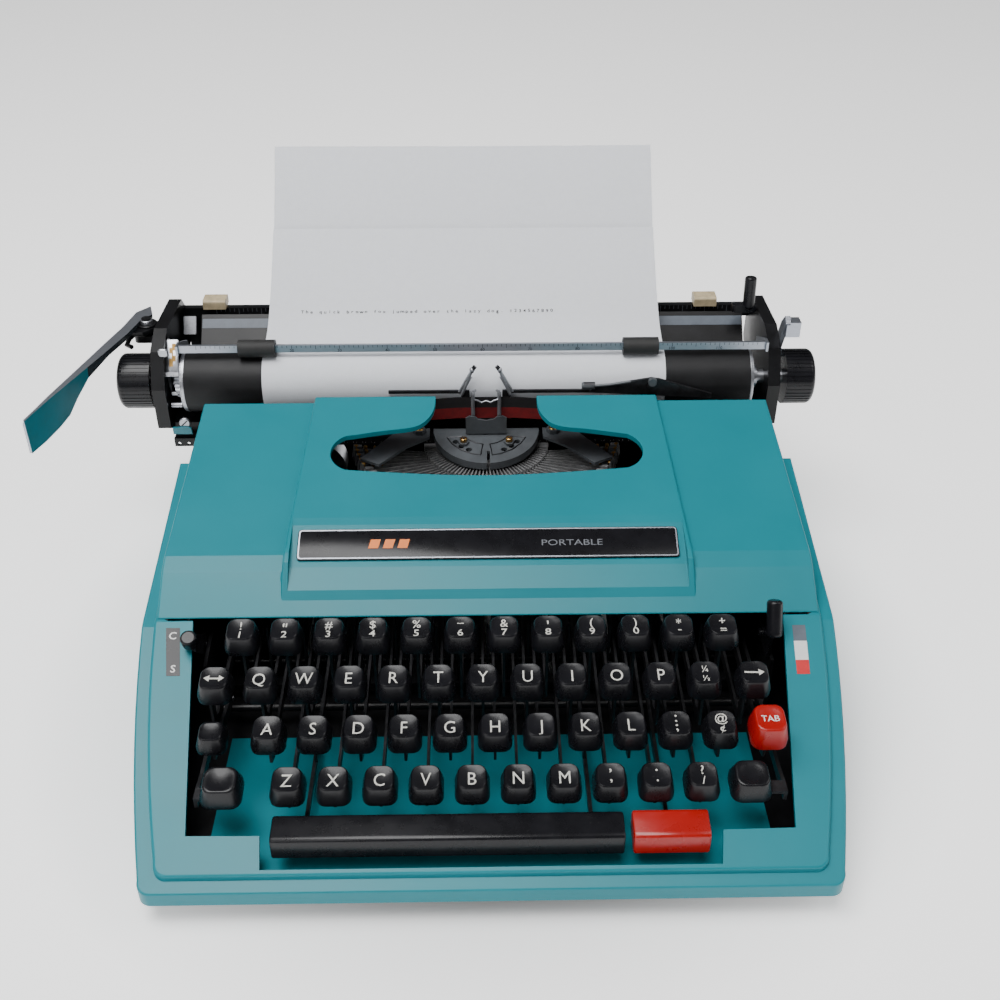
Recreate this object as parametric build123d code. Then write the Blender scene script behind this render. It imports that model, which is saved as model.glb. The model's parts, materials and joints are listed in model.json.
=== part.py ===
from build123d import *
import math
import os

# ---------------------------------------------------------------------------
# Portable typewriter with a 12 inch carriage, modelled as separate pieces.
# Machine frame while modelling: X to the typist's right with 0 on the centre
# line of the case, Y towards the back, Z up from the table.  Everything is
# moved once, on export, so that the origin is the bottom centre of the box.
# Millimetres throughout.
# ---------------------------------------------------------------------------

# Driving dimensions: keyboard
KEY_PITCH = 19.05
ROW_PITCH_Y = 18.94
ROW_RISE = 10.58
ROW4_Y, ROW4_Z = 30.3, 48.5
ROW_COUNTS = {1: 12, 2: 11, 3: 11, 4: 10}
ROW_FIRST_X = {1: -108.0, 2: -98.4, 3: -93.5, 4: -84.2}
KEY_BASE = 14.6
KEY_TOP = 11.8
KEY_HEIGHT = 9.6
KEY_TILT = 9.0
LEVER_THICK = 1.2
FULCRUM_Y, FULCRUM_Z, FULCRUM_R = 222.0, 44.0, 2.0

# Driving dimensions: case
CASE_BOTTOM = 12.0
FOOT_R = 9.0
WALL = 2.5
FLANGE_WIDTH = 6.3
FLANGE_DROP = 3.0
CASE_FRONT_Y, CASE_REAR_Y = -4.0, 306.0
CASE_REAR_Z = 64.0
CASE_HALF_FRONT, CASE_HALF_REAR = 144.0, 158.5
DECK_FRONT_Y, DECK_FRONT_Z = 0.9, 24.0
DECK_FOLD_Y, DECK_FOLD_Z = 108.0, 66.6
DECK_REAR_Y, DECK_REAR_Z = 213.0, 86.5
APRON_Z0, APRON_Z1 = 14.3, 16.1

# Driving dimensions: top cover
COVER_REAR_Y = 240.6
COVER_HALF_FRONT, COVER_HALF_REAR = 151.2, 148.2
COVER_SLOPE = 0.183
PLATEAU_REAR_Z = 106.2
PLATEAU_RISE = 3.5
PLATEAU_HALF_FRONT, PLATEAU_HALF_REAR = 96.0, 89.5
FOLD_Y = 133.0
LIP_Y, LIP_Z = 109.4, 67.4

# Driving dimensions: carriage
CARRIAGE_X = -11.0
PLATEN_Y, PLATEN_Z, PLATEN_R = 270.0, 100.5, 17.0
PLATEN_X0, PLATEN_X1 = -162.8, 143.0
SHAFT_R = 4.0
KNOB_R = 15.0
BAIL_Y, BAIL_Z = 265.0, 122.3
BAIL_PIVOT_Y, BAIL_PIVOT_Z = 284.0, 114.0
PAPER_WIDTH, PAPER_THICK = 215.9, 0.3
PAPER_X0 = CARRIAGE_X - 0.5 - PAPER_WIDTH / 2

# Driving dimensions: type basket
SEG_Y, SEG_Z, SEG_R = 250.0, 80.5, 28.6
SEG_TILT = 8.0
BAR_COUNT = 44
BAR_PIVOT_R, BAR_TIP_R = 30.0, 73.5
BAR_PIVOT_Z, BAR_TIP_Z = 67.0, 75.0


# Places and sizes of the single pieces
NAME_TOP = (146.7, 89.3)
NAME_BOTTOM = (131.5, 83.1)
NAME_HALF = 89.0
FOOT_PLACES = [(-128, 28), (128, 28), (-138, 280), (138, 280)]
SIDE_X = 128.5
COMB_Y = 116.0
SPACE_X0, SPACE_X1 = -90.0, 54.0
REPEAT_X0, REPEAT_X1 = 57.5, 89.0
BAR_Y0, BAR_Y1, BAR_Z0, BAR_Z1 = 7.6, 21.0, 26.0, 36.2
ARM_X = [-78.0, 42.0]
ARM_PIVOT_Y, ARM_PIVOT_Z = 98.0, 22.0
LEFT_KEYS_X = -117.6
ARROW_X, TAB_X, SHIFT_RIGHT_X, SHIFT_LEFT_X = 113.0, 117.2, 107.6, -111.5
SHIFT_LOCK_X = -117.4
SHIFT_ARM_X = {"left": -122.5, "right": 122.5}
SHIFT_PIVOT_Y, SHIFT_PIVOT_Z = 200.0, 32.0
TOUCH_X, TOUCH_Y, TOUCH_Z = -133.3, 94.0, 67.6
COLOR_X, COLOR_Y, COLOR_Z = 127.9, 99.0, 72.4
CENTRE_BAR = BAR_COUNT // 2
SPOOL_X, SPOOL_Y, SPOOL_R = 108.0, 196.0, 25.0
SPOOL_Z0, SPOOL_Z1 = 72.0, 87.0
RIBBON_Y, RIBBON_Z0, RIBBON_Z1 = 247.4, 88.7, 101.7
GAUGE_Y0, GAUGE_Y1 = 250.4, 251.6
ESCAPE_TEETH = 41
PLATE_PROFILE = [(254.4, 79.5), (254.4, 103.0), (264.0, 121.0), (279.0, 127.5), (318.0, 126.0),
                 (325.0, 118.0), (325.0, 98.0), (306.0, 78.0), (262.0, 75.0)]
LEFT_X0, LEFT_X1 = -178.6, -171.6
RIGHT_X0, RIGHT_X1 = 152.0, 158.6
LEVER_PIVOT = (-185.6, 291.5, 121.0)
RATCHET_R = 9.2
FEED_R = 2.6
FEED_GAP = 0.35
TABLE_X0, TABLE_X1 = -160.0, 146.5
RAIL_Y0, RAIL_Y1, RAIL_Z0, RAIL_Z1 = 319.4, 323.4, 112.6, 119.6
BAIL_ROLLERS = ((-131.5, -112.0), (73.6, 92.4))


# ------------------------------------------------------------------ helpers
def block(x0, x1, y0, y1, z0, z1):
    """Axis-aligned box between two corners."""
    centre = ((x0 + x1) / 2, (y0 + y1) / 2, (z0 + z1) / 2)
    return Pos(*centre) * Box(x1 - x0, y1 - y0, z1 - z0)


def plate_x(points, x0, x1):
    """Side profile of (y, z) points, extruded from x0 to x1."""
    face = make_face(Polyline(*[(x0, y, z) for y, z in points], close=True))
    return extrude(face, amount=x1 - x0, dir=(1, 0, 0))


def plate_y(points, y0, y1):
    """Front profile of (x, z) points, extruded from y0 to y1."""
    face = make_face(Polyline(*[(x, y0, z) for x, z in points], close=True))
    return extrude(face, amount=y1 - y0, dir=(0, 1, 0))


def plate_z(points, z0, z1):
    """Plan profile of (x, y) points, extruded from z0 to z1."""
    face = make_face(Polyline(*[(x, y, z0) for x, y in points], close=True))
    return extrude(face, amount=z1 - z0, dir=(0, 0, 1))


def rod_x(y, z, radius, x0, x1):
    return Pos((x0 + x1) / 2, y, z) * Rot(0, 90, 0) * Cylinder(radius, x1 - x0)


def rod_y(x, z, radius, y0, y1):
    return Pos(x, (y0 + y1) / 2, z) * Rot(90, 0, 0) * Cylinder(radius, y1 - y0)


def rod_z(x, y, radius, z0, z1):
    return Pos(x, y, (z0 + z1) / 2) * Cylinder(radius, z1 - z0)


def tube_between(start, end, radius):
    """Round rod between any two points."""
    path = Vector(*end) - Vector(*start)
    plane = Plane(origin=start, z_dir=path)
    return extrude(plane * Circle(radius), amount=path.length)


def deck_z(y):
    """Height of the key surround at depth y."""
    slope = (DECK_FOLD_Z - DECK_FRONT_Z) / (DECK_FOLD_Y - DECK_FRONT_Y)
    return DECK_FRONT_Z + slope * (y - DECK_FRONT_Y)


def plateau_z(y):
    """Height of the raised middle of the top cover at depth y."""
    return PLATEAU_REAR_Z - COVER_SLOPE * (COVER_REAR_Y - y)


def row_place(row):
    """Depth and height of a key row's dished tops."""
    steps = 4 - row
    return ROW4_Y + steps * ROW_PITCH_Y, ROW4_Z + steps * ROW_RISE


def row_keys(row):
    """X of every key in a row."""
    return [ROW_FIRST_X[row] + i * KEY_PITCH for i in range(ROW_COUNTS[row])]


# --------------------------------------------------------------- lower case
def case_outline(inset, front_inset):
    """Plan of the case: straight front, curved flanks, straight back."""
    half0 = CASE_HALF_FRONT - inset
    half1 = CASE_HALF_REAR - inset
    y0 = CASE_FRONT_Y + front_inset
    corner = 6.0
    bulge = (half0 + (half1 - half0) * 0.6, 50.0)
    right = [
        Line((0, y0), (half0 - corner, y0)),
        ThreePointArc((half0 - corner, y0), (half0 - 1.6, y0 + 1.7), (half0, y0 + corner)),
        ThreePointArc((half0, y0 + corner), bulge, (half1, 112.0)),
        Line((half1, 112.0), (half1, CASE_REAR_Y - inset)),
        Line((half1, CASE_REAR_Y - inset), (0, CASE_REAR_Y - inset)),
    ]
    left = [mirror(edge, about=Plane.YZ) for edge in right]
    return make_face(right + left)


def case_profile(drop, lead):
    """Side profile under the deck, lowered by drop, reaching lead further forward."""
    reach = 400.0
    slope = (DECK_FOLD_Z - DECK_FRONT_Z) / (DECK_FOLD_Y - DECK_FRONT_Y)
    front = DECK_FRONT_Y - lead
    points = [
        (front - 20, DECK_FRONT_Z - slope * (lead + 20) - drop),
        (DECK_FOLD_Y, DECK_FOLD_Z - drop),
        (DECK_REAR_Y + 1, DECK_REAR_Z - drop),
        (DECK_REAR_Y + 4, CASE_REAR_Z - drop),
        (reach, CASE_REAR_Z - drop),
        (reach, -5),
        (front - 20, -5),
    ]
    return plate_x(points, -200, 200)


def case_body(inset, front_inset, drop, lead, bottom):
    tall = Pos(0, 0, bottom) * extrude(case_outline(inset, front_inset), amount=150)
    return tall & case_profile(drop, lead)


def soft_top(body, radius):
    """Round the edges round the top of the case, leaving its back edge square."""
    edges = [e for e in body.edges() if e.center().Z > CASE_BOTTOM + 1 and e.center().Y < CASE_REAR_Y - 12]
    return fillet([e for e in edges if abs(e.tangent_at(0.5).Z) <= 0.9], radius)


def lower_case():
    deck_front_inset = DECK_FRONT_Y - CASE_FRONT_Y
    flange = soft_top(case_body(0, 0, FLANGE_DROP, 6, CASE_BOTTOM), 1.0)
    deck = soft_top(case_body(FLANGE_WIDTH, deck_front_inset, 0, 0, CASE_BOTTOM), 1.4)
    hollow_low = case_body(WALL, WALL, FLANGE_DROP + WALL, 6, CASE_BOTTOM - 3)
    inset = FLANGE_WIDTH + WALL
    hollow_high = case_body(inset, deck_front_inset + WALL, WALL, 0, CASE_BOTTOM - 3)
    shell = flange + deck - hollow_low - hollow_high
    well = plate_z(
        [(-134.5, DECK_FOLD_Y + 0.5), (-125.8, 16.2), (-95.4, 15.9), (-94.2, 2.9),
         (93.6, 2.9), (95.4, 16.0), (125.5, 16.4), (134.5, DECK_FOLD_Y + 0.5)],
        21, 150)
    under_cover = block(-146, 146, DECK_FOLD_Y + 0.4, 330, 40, 150)
    apron = block(-119, 119, CASE_FRONT_Y + 1.5, 84, APRON_Z0, APRON_Z1)
    apron_wings = block(-138, 138, CASE_FRONT_Y + 1.5, 14, APRON_Z0, APRON_Z1)
    return shell - well - under_cover + apron + apron_wings


# ---------------------------------------------------------------- top cover
def cover_side(drop):
    """Side profile of the lower outer zones of the cover."""
    low = PLATEAU_RISE + drop
    base = 40.0
    return [
        (LIP_Y, base), (LIP_Y, LIP_Z - drop), (FOLD_Y - 6, plateau_z(FOLD_Y - 6) - low - 2.0),
        (FOLD_Y + 2, plateau_z(FOLD_Y + 2) - low), (COVER_REAR_Y, plateau_z(COVER_REAR_Y) - low),
        (COVER_REAR_Y, base),
    ]


def cover_middle(drop):
    """Side profile of the raised plateau between the two step lines."""
    base = 40.0
    return [
        (LIP_Y + 3, base), (LIP_Y + 3, LIP_Z + 1.0 - drop), (FOLD_Y - 5, plateau_z(FOLD_Y - 5) - drop - 0.8),
        (FOLD_Y, plateau_z(FOLD_Y) - drop), (COVER_REAR_Y, plateau_z(COVER_REAR_Y) - drop),
        (COVER_REAR_Y, base),
    ]


def cover_solid(inset, drop):
    """Outer shape of the cover, or its hollow when inset and drop are given."""
    sides = plate_x(cover_side(drop), -160, 160)
    wide = plate_z(
        [(-COVER_HALF_FRONT + inset, LIP_Y - 5), (COVER_HALF_FRONT - inset, LIP_Y - 5),
         (COVER_HALF_REAR - inset, COVER_REAR_Y + 5), (-COVER_HALF_REAR + inset, COVER_REAR_Y + 5)],
        30, 150)
    plateau = plate_x(cover_middle(drop), -160, 160)
    narrow = plate_z(
        [(-PLATEAU_HALF_FRONT + inset, LIP_Y - 5), (PLATEAU_HALF_FRONT - inset, LIP_Y - 5),
         (PLATEAU_HALF_REAR - inset, COVER_REAR_Y + 5), (-PLATEAU_HALF_REAR + inset, COVER_REAR_Y + 5)],
        30, 150)
    return sides & wide, plateau & narrow


def basket_opening():
    """Shield-shaped opening over the type basket, open to the rear edge."""
    right = [
        Spline((0, 181.9), (45, 184.2), (70, 186.6), tangents=[(1, 0), (1, 0.12)]),
        ThreePointArc((70, 186.6), (78.4, 198.5), (71.5, 210.8)),
        Spline((71.5, 210.8), (48, 215.2), (34, 219.0), (27.5, 229.5), (26.6, COVER_REAR_Y + 4),
               tangents=[(-1, 0.16), (0, 1)]),
        Line((26.6, COVER_REAR_Y + 4), (0, COVER_REAR_Y + 4)),
    ]
    left = [mirror(edge, about=Plane.YZ) for edge in right]
    face = make_face(right + left)
    return Pos(0, 0, 60) * extrude(face, amount=80)


def name_recess():
    """Shallow pocket for the name plate with a sloping lower ledge."""
    top_y, above = NAME_TOP[0] + 7.9, 97.0
    points = [
        (top_y, above), (top_y, plateau_z(top_y)), (NAME_TOP[0] + 3.4, NAME_TOP[1]),
        (NAME_BOTTOM[0] - 2.6, NAME_BOTTOM[1] - 2.4),
        (LIP_Y + 9.5, plateau_z(FOLD_Y) - 11.4), (LIP_Y + 4, above),
    ]
    return plate_x(points, -NAME_HALF - 3.2, NAME_HALF + 3.2)


def is_step_root(edge):
    """The short upright run at the foot of the plateau's step, which stays sharp."""
    middle = edge.center()
    return abs(abs(middle.X) - 94.8) < 0.2 and abs(middle.Y - 131.0) < 0.3 and middle.Z < 83.0


def top_cover():
    sides, plateau = cover_solid(0, 0)
    body = sides + plateau
    edges = [e for e in body.edges() if e.center().Z > LIP_Z - 1 and abs(e.center().Y - COVER_REAR_Y) > 0.5]
    body = fillet([e for e in edges if not is_step_root(e)], 1.0)
    inner_sides, inner_plateau = cover_solid(WALL, WALL)
    floor_cut = plate_x(
        [(LIP_Y - 10, 20), (LIP_Y - 10, deck_z(LIP_Y - 10) + 0.3), (DECK_FOLD_Y, DECK_FOLD_Z + 0.3),
         (DECK_REAR_Y, DECK_REAR_Z + 0.3), (260, DECK_REAR_Z + 6), (260, 20)], -170, 170)
    backing = plate_x(
        [(156.8, 96.0), (156.8, 87.0), (LIP_Y + 7, 66.0), (LIP_Y + 2.0, 66.0), (LIP_Y + 2.0, 96.0)],
        -94.7, 94.7)
    shell = body - inner_sides - inner_plateau + (backing & body)
    return shell - name_recess() - basket_opening() - floor_cut


def name_plate():
    length = math.dist(NAME_TOP, NAME_BOTTOM)
    angle = math.degrees(math.atan2(NAME_TOP[1] - NAME_BOTTOM[1], NAME_TOP[0] - NAME_BOTTOM[0]))
    centre_y = (NAME_TOP[0] + NAME_BOTTOM[0]) / 2
    centre_z = (NAME_TOP[1] + NAME_BOTTOM[1]) / 2
    plate = extrude(RectangleRounded(2 * NAME_HALF, length, 2.0), amount=1.2)
    return Pos(0, centre_y, centre_z - 1.2) * Rot(angle, 0, 0) * plate


# ------------------------------------------------------------ base and frame
def base_plate():
    plate = extrude(case_outline(WALL + 0.4, WALL + 0.4), amount=1.3)
    plate = Pos(0, 0, CASE_BOTTOM) * plate
    for x in range(-90, 91, 30):
        plate -= block(x - 2, x + 2, 120, 200, 5, 20)
    return plate


def rubber_feet():
    feet = []
    for x, y in FOOT_PLACES:
        upright = (Align.CENTER, Align.CENTER, Align.MIN)
        foot = Pos(x, y, 0) * Cone(FOOT_R - 1.5, FOOT_R, CASE_BOTTOM, align=upright)
        feet.append(foot - rod_z(x, y, 3.2, -1, 4))
    return feet


def side_frames():
    """Pressed steel side plates of the chassis."""
    plates = []
    profile = [(96, 13.3), (96, 50), (150, 58), (214, 58), (240, 66), (296, 66), (296, 13.3)]
    for sign in (-1, 1):
        inner, outer = sorted((sign * SIDE_X, sign * (SIDE_X + 1.6)))
        plate = plate_x(profile, inner, outer)
        plate -= block(inner - 1, outer + 1, 120, 200, 24, 34)
        plates.append(plate)
    return plates


def chassis_rods():
    """Pivot rods of the key levers and bar keys, and two tie rods of the same stock."""
    return [
        rod_x(FULCRUM_Y, FULCRUM_Z, FULCRUM_R, -SIDE_X, SIDE_X),
        rod_x(ARM_PIVOT_Y, ARM_PIVOT_Z, FULCRUM_R, -SIDE_X, SIDE_X),
        rod_x(132, 20, FULCRUM_R, -SIDE_X, SIDE_X),
        rod_x(286, 24, FULCRUM_R, -SIDE_X, SIDE_X),
    ]


def all_lever_x():
    return sorted(x for row in ROW_COUNTS for x in row_keys(row))


def key_comb():
    """Slotted guide that keeps the key levers apart."""
    xs = all_lever_x()
    comb = block(-SIDE_X, SIDE_X, COMB_Y - 3, COMB_Y + 3, 17.0, 22.0)
    tooth_x = [(a + b) / 2 for a, b in zip(xs, xs[1:])]
    for x in [xs[0] - 3] + tooth_x + [xs[-1] + 3]:
        comb += block(x - 0.5, x + 0.5, COMB_Y - 1.2, COMB_Y + 1.2, 21.0, 56.0)
    return comb


# ------------------------------------------------------------------ keyboard
def key_cap(width, depth, height, top_w, top_d, dish=True):
    """Rounded key cap standing on z = 0 with a dished, tapering top."""
    base = RectangleRounded(width, depth, min(width, depth) * 0.28)
    mid = Pos(0, 0, height * 0.35) * RectangleRounded(width, depth, min(width, depth) * 0.28)
    top = Pos(0, 0.4, height) * RectangleRounded(top_w, top_d, min(top_w, top_d) * 0.3)
    lower = loft([base, mid])
    cap = lower + loft([mid, top])
    if dish:
        radius = 22.0
        cap -= Pos(0, 0.4, height + radius - 0.9) * Sphere(radius)
    return cap


def place_cap(cap, x, y, top_z, height=KEY_HEIGHT):
    return Pos(x, y, top_z - height + 0.9) * Rot(KEY_TILT, 0, 0) * cap


def keycaps(row):
    y, z = row_place(row)
    cap = key_cap(KEY_BASE, KEY_BASE, KEY_HEIGHT, KEY_TOP, KEY_TOP)
    return [place_cap(cap, x, y, z) for x in row_keys(row)]


def key_lever(x, y, cap_bottom):
    """Flat steel lever from the fulcrum to the stem under one key."""
    shank_z = min(cap_bottom - 4.5, 43.0)
    points = [
        (y - 2.6, cap_bottom), (y - 2.6, shank_z - 3.0), (y + 2.0, shank_z - 5.0),
        (FULCRUM_Y - 8, FULCRUM_Z - 5.5), (FULCRUM_Y + 5, FULCRUM_Z - 5.5),
        (FULCRUM_Y + 5, FULCRUM_Z + 4.5), (FULCRUM_Y - 8, FULCRUM_Z + 1.5),
        (y + 6.0, shank_z), (y + 2.6, shank_z + 1.5), (y + 2.6, cap_bottom),
    ]
    lever = plate_x(points, x - LEVER_THICK / 2, x + LEVER_THICK / 2)
    return lever - rod_x(FULCRUM_Y, FULCRUM_Z, FULCRUM_R + 0.1, x - 2, x + 2)


def cap_bottom_z(row):
    return row_place(row)[1] - KEY_HEIGHT + 0.9 + 0.9


def key_levers(row):
    y = row_place(row)[0]
    return [key_lever(x, y, cap_bottom_z(row)) for x in row_keys(row)]


def lever_key(x, y, top_z, width, depth, top_w, top_d, lever_x, height=KEY_HEIGHT):
    """Single key: moulded cap fixed on its own flat lever."""
    cap = place_cap(key_cap(width, depth, height, top_w, top_d), x, y, top_z, height)
    bottom = top_z - height + 1.8
    lever = key_lever(lever_x, y, bottom + 1.0)
    link_x0, link_x1 = sorted((x, lever_x))
    link = block(link_x0 - 0.6, link_x1 + 0.6, y - 2.4, y + 2.4, bottom - 1.6, bottom + 1.2)
    return cap + lever + link


def bar_solid(x0, x1, crown):
    profile = [(BAR_Y0, BAR_Z0), (BAR_Y0 + 0.3, BAR_Z1 - 1.2), (BAR_Y0 + 1.6, BAR_Z1),
               (BAR_Y1 - 1.5, BAR_Z1 + crown), (BAR_Y1, BAR_Z1 + crown - 1.5), (BAR_Y1, BAR_Z0 + 1)]
    bar = plate_x(profile, x0, x1)
    corners = bar.edges().filter_by(Axis.Z, tolerance=10)
    return fillet(corners, 0.8)


def bar_arm(x):
    """Arm under a bar key, running low under the key levers to its pivot."""
    arm = plate_x(
        [(BAR_Y0 + 4, BAR_Z0 + 3), (BAR_Y0 + 4, BAR_Z0 - 1.4), (60, 20.5), (ARM_PIVOT_Y + 4, 19.0),
         (ARM_PIVOT_Y + 4, 25.5), (60, 24.5), (BAR_Y1 + 2, BAR_Z0 - 0.5), (BAR_Y1 - 2, BAR_Z0 + 3)],
        x - 0.8, x + 0.8)
    return arm - rod_x(ARM_PIVOT_Y, ARM_PIVOT_Z, FULCRUM_R + 0.1, x - 2, x + 2)


def spacebar():
    return bar_solid(SPACE_X0, SPACE_X1, 0.8) + bar_arm(ARM_X[0]) + bar_arm(ARM_X[1])


def repeat_key():
    return bar_solid(REPEAT_X0, REPEAT_X1, 1.6) + bar_arm(74.0)


def margin_release_key():
    y, z = row_place(2)
    return lever_key(LEFT_KEYS_X, y, z, KEY_BASE, KEY_BASE, KEY_TOP, KEY_TOP, LEFT_KEYS_X - 3.0)


def arrow_key():
    y, z = row_place(2)
    return lever_key(ARROW_X, y, z, KEY_BASE, KEY_BASE, KEY_TOP, KEY_TOP, ARROW_X - 3.0)


def tab_key():
    y, z = row_place(3)
    return lever_key(TAB_X, y, z + 2.4, 15.4, 16.6, 12.6, 13.6, TAB_X - 0.5, 11.5)


def shift_keys():
    """Left and right shift caps."""
    y, z = row_place(4)
    cap = key_cap(17.2, 16.2, KEY_HEIGHT, 13.8, 12.6)
    return [place_cap(cap, x, y, z) for x in (SHIFT_LEFT_X, SHIFT_RIGHT_X)]


def shift_yoke():
    """Two shift levers joined by a cross shaft that lowers the type basket."""
    y = row_place(4)[0]
    bottom = cap_bottom_z(4)
    yoke = rod_x(SHIFT_PIVOT_Y, SHIFT_PIVOT_Z, 2.0, SHIFT_ARM_X["left"], SHIFT_ARM_X["right"])
    for cap_x, arm_x in ((SHIFT_LEFT_X, SHIFT_ARM_X["left"]), (SHIFT_RIGHT_X, SHIFT_ARM_X["right"])):
        arm = plate_x(
            [(y - 3, bottom - 0.8), (y - 3, bottom - 6), (ARM_PIVOT_Y, 31.6),
             (SHIFT_PIVOT_Y - 6, SHIFT_PIVOT_Z - 4), (SHIFT_PIVOT_Y + 5, SHIFT_PIVOT_Z - 3),
             (SHIFT_PIVOT_Y + 3, SHIFT_PIVOT_Z + 5),
             (y + 12, bottom - 2), (y + 3, bottom - 0.8)], arm_x - 0.8, arm_x + 0.8)
        x0, x1 = sorted((cap_x, arm_x))
        tongue = block(x0 - 0.8, x1 + 0.8, y - 3, y + 3, bottom - 2.4, bottom - 0.8)
        post = block(cap_x - 1, cap_x + 1, y - 2.5, y + 2.5, bottom - 2.4, bottom + 0.4)
        yoke += arm + tongue + post
    return yoke


def shift_lock_key():
    """Small latch key above the left shift, with its stem."""
    y, z = row_place(3)
    cap = place_cap(key_cap(12.6, 13.2, 8.4, 9.8, 9.6), SHIFT_LOCK_X, y, z - 2.0, 8.4)
    bottom = z - 2.0 - 8.4 + 1.8
    stem = plate_x([(y - 2, bottom + 1), (y - 2, bottom - 9), (y + 34, bottom - 14), (y + 40, bottom - 10),
                    (y + 6, bottom - 4), (y + 2, bottom + 1)], SHIFT_LOCK_X - 0.7, SHIFT_LOCK_X + 0.7)
    return cap + stem + rod_x(y + 38, bottom - 12, 1.6, SHIFT_LOCK_X - 1.4, SHIFT_LOCK_X + 1.4)


def touch_lever():
    """Key-touch lever: small knob over the edge of the well on a thin arm."""
    knob = Pos(TOUCH_X, TOUCH_Y, TOUCH_Z) * Rot(24, 0, 0) * Cylinder(3.7, 7.0)
    knob = fillet(knob.edges(), 1.2)
    arm = plate_x([(TOUCH_Y - 1, TOUCH_Z), (TOUCH_Y - 1, TOUCH_Z - 6), (TOUCH_Y + 13, 47), (TOUCH_Y + 20, 47),
                   (TOUCH_Y + 20, 54), (TOUCH_Y + 4, TOUCH_Z)], -132.0, -130.8)
    return knob + arm + rod_x(TOUCH_Y + 17, 50.0, 2.2, -132.6, -130.5)


def color_lever():
    """Ribbon colour selector: upright black lever at the right of the number row."""
    grip = Pos(COLOR_X, COLOR_Y, COLOR_Z) * Rot(-28, 0, 0) * Cylinder(3.6, 17)
    grip = fillet(grip.edges(), 1.6)
    arm = plate_x([(COLOR_Y - 4, COLOR_Z - 4), (COLOR_Y, 49), (116, 48.5), (118, 55), (COLOR_Y + 6, 57),
                   (COLOR_Y + 3, COLOR_Z - 2)], 127.0, 128.2)
    return grip + arm + rod_x(COLOR_Y + 14, 52.0, 2.0, 125.6, 128.2)


# --------------------------------------------------------------- type basket
def tilt_basket(shape):
    """Lean a piece modelled flat at the segment's height back by the basket's slope."""
    return Pos(0, SEG_Y, SEG_Z) * Rot(SEG_TILT, 0, 0) * Pos(0, -SEG_Y, -SEG_Z) * shape


def bar_angles():
    """Fan of type bars, from just below the left horizontal to the right."""
    first, last = 190.0, 350.0
    step = (last - first) / (BAR_COUNT - 1)
    return [first + i * step for i in range(BAR_COUNT)]


def half_disc(radius, z0, z1):
    disc = rod_z(0, SEG_Y, radius, z0, z1)
    return disc & block(-radius - 1, radius + 1, SEG_Y - radius - 1, SEG_Y, z0 - 1, z1 + 1)


def segment():
    """Slotted steel half ring that carries the type bars."""
    ring = half_disc(34.0, 60.0, 71.0) - half_disc(17.0, 58.0, 76.0)
    for angle in bar_angles():
        slot = block(21.0, 36.0, -0.6, 0.6, 61.5, 76.0)
        ring -= Pos(0, SEG_Y, 0) * Rot(0, 0, angle) * slot
    return ring


def segment_plate():
    """Smooth steel cover plate of the segment with two kidney slots and two screws."""
    plate = half_disc(SEG_R, SEG_Z - 2.0, SEG_Z)
    rim = half_disc(SEG_R, SEG_Z - 4.6, SEG_Z - 2.0) - half_disc(SEG_R - 1.6, SEG_Z - 5, SEG_Z - 1.9)
    plate += rim
    for sign in (-1, 1):
        for turn in (0, 14, 28):
            place = Pos(0, SEG_Y, 0) * Rot(0, 0, 270 + sign * (28 + turn))
            plate -= place * rod_z(20.0, 0, 1.6, SEG_Z - 3, SEG_Z + 1)
        head = Pos(sign * 12.2, SEG_Y - 12.5, SEG_Z) * extrude(RegularPolygon(2.9, 6), amount=1.6)
        plate += head
    strike_x = BAR_PIVOT_R * math.cos(math.radians(bar_angles()[CENTRE_BAR]))
    plate -= block(strike_x - 0.8, strike_x + 0.8, SEG_Y - SEG_R - 2, SEG_Y - 19, SEG_Z - 6, SEG_Z + 2)
    return tilt_basket(plate)


def type_bar_flat():
    """One type bar along +X from its pivot, with its slug at the tip, at z = 0."""
    reach = BAR_TIP_R - BAR_PIVOT_R
    bar = block(-3.0, reach - 4, -0.4, 0.4, -1.6, 1.6)
    heel = block(-4.5, 1.5, -0.4, 0.4, -3.0, 1.6)
    slug = block(reach - 4.5, reach, -1.15, 1.15, -3.2, 3.4)
    return bar + heel + slug + rod_y(0, 0, 1.2, -0.5, 0.5)


def placed_type_bar(angle):
    slope = math.degrees(math.atan2(BAR_TIP_Z - BAR_PIVOT_Z, BAR_TIP_R - BAR_PIVOT_R))
    place = Pos(0, SEG_Y, BAR_PIVOT_Z) * Rot(0, 0, angle) * Pos(BAR_PIVOT_R, 0, 0) * Rot(0, -slope, 0)
    return place * type_bar_flat()


def type_bars():
    angles = bar_angles()
    return [placed_type_bar(a) for i, a in enumerate(angles) if i != CENTRE_BAR]


def type_bar_centre():
    return placed_type_bar(bar_angles()[CENTRE_BAR])


def type_guide():
    """Upright guide under the printing point with a shallow U notch for the type."""
    right = [(11.0, 80.7), (11.0, 90.4), (9.0, 91.6), (5.8, 91.2), (4.4, 89.8), (0.0, 88.8)]
    left = [(-x, z) for x, z in reversed(right[:-1])]
    return plate_y(right + left, 244.2, 245.2)


def basket_arms():
    """Grey support arms beside the segment, each with its nut."""
    arms = []
    for sign in (-1, 1):
        outline = [(sign * x, y) for x, y in
                   ((30.5, 249.0), (50.0, 243.5), (66.0, 219.5), (56.0, 213.5), (42.0, 231.0), (30.5, 240.0))]
        if sign < 0:
            outline.reverse()
        arm = plate_z(outline, 80.0, 81.6)
        nut = Pos(sign * 36.0, 244.4, 81.6) * extrude(RegularPolygon(3.6, 6), amount=2.4)
        arms.append(arm + nut)
    return arms


# -------------------------------------------------------------------- ribbon


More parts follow.
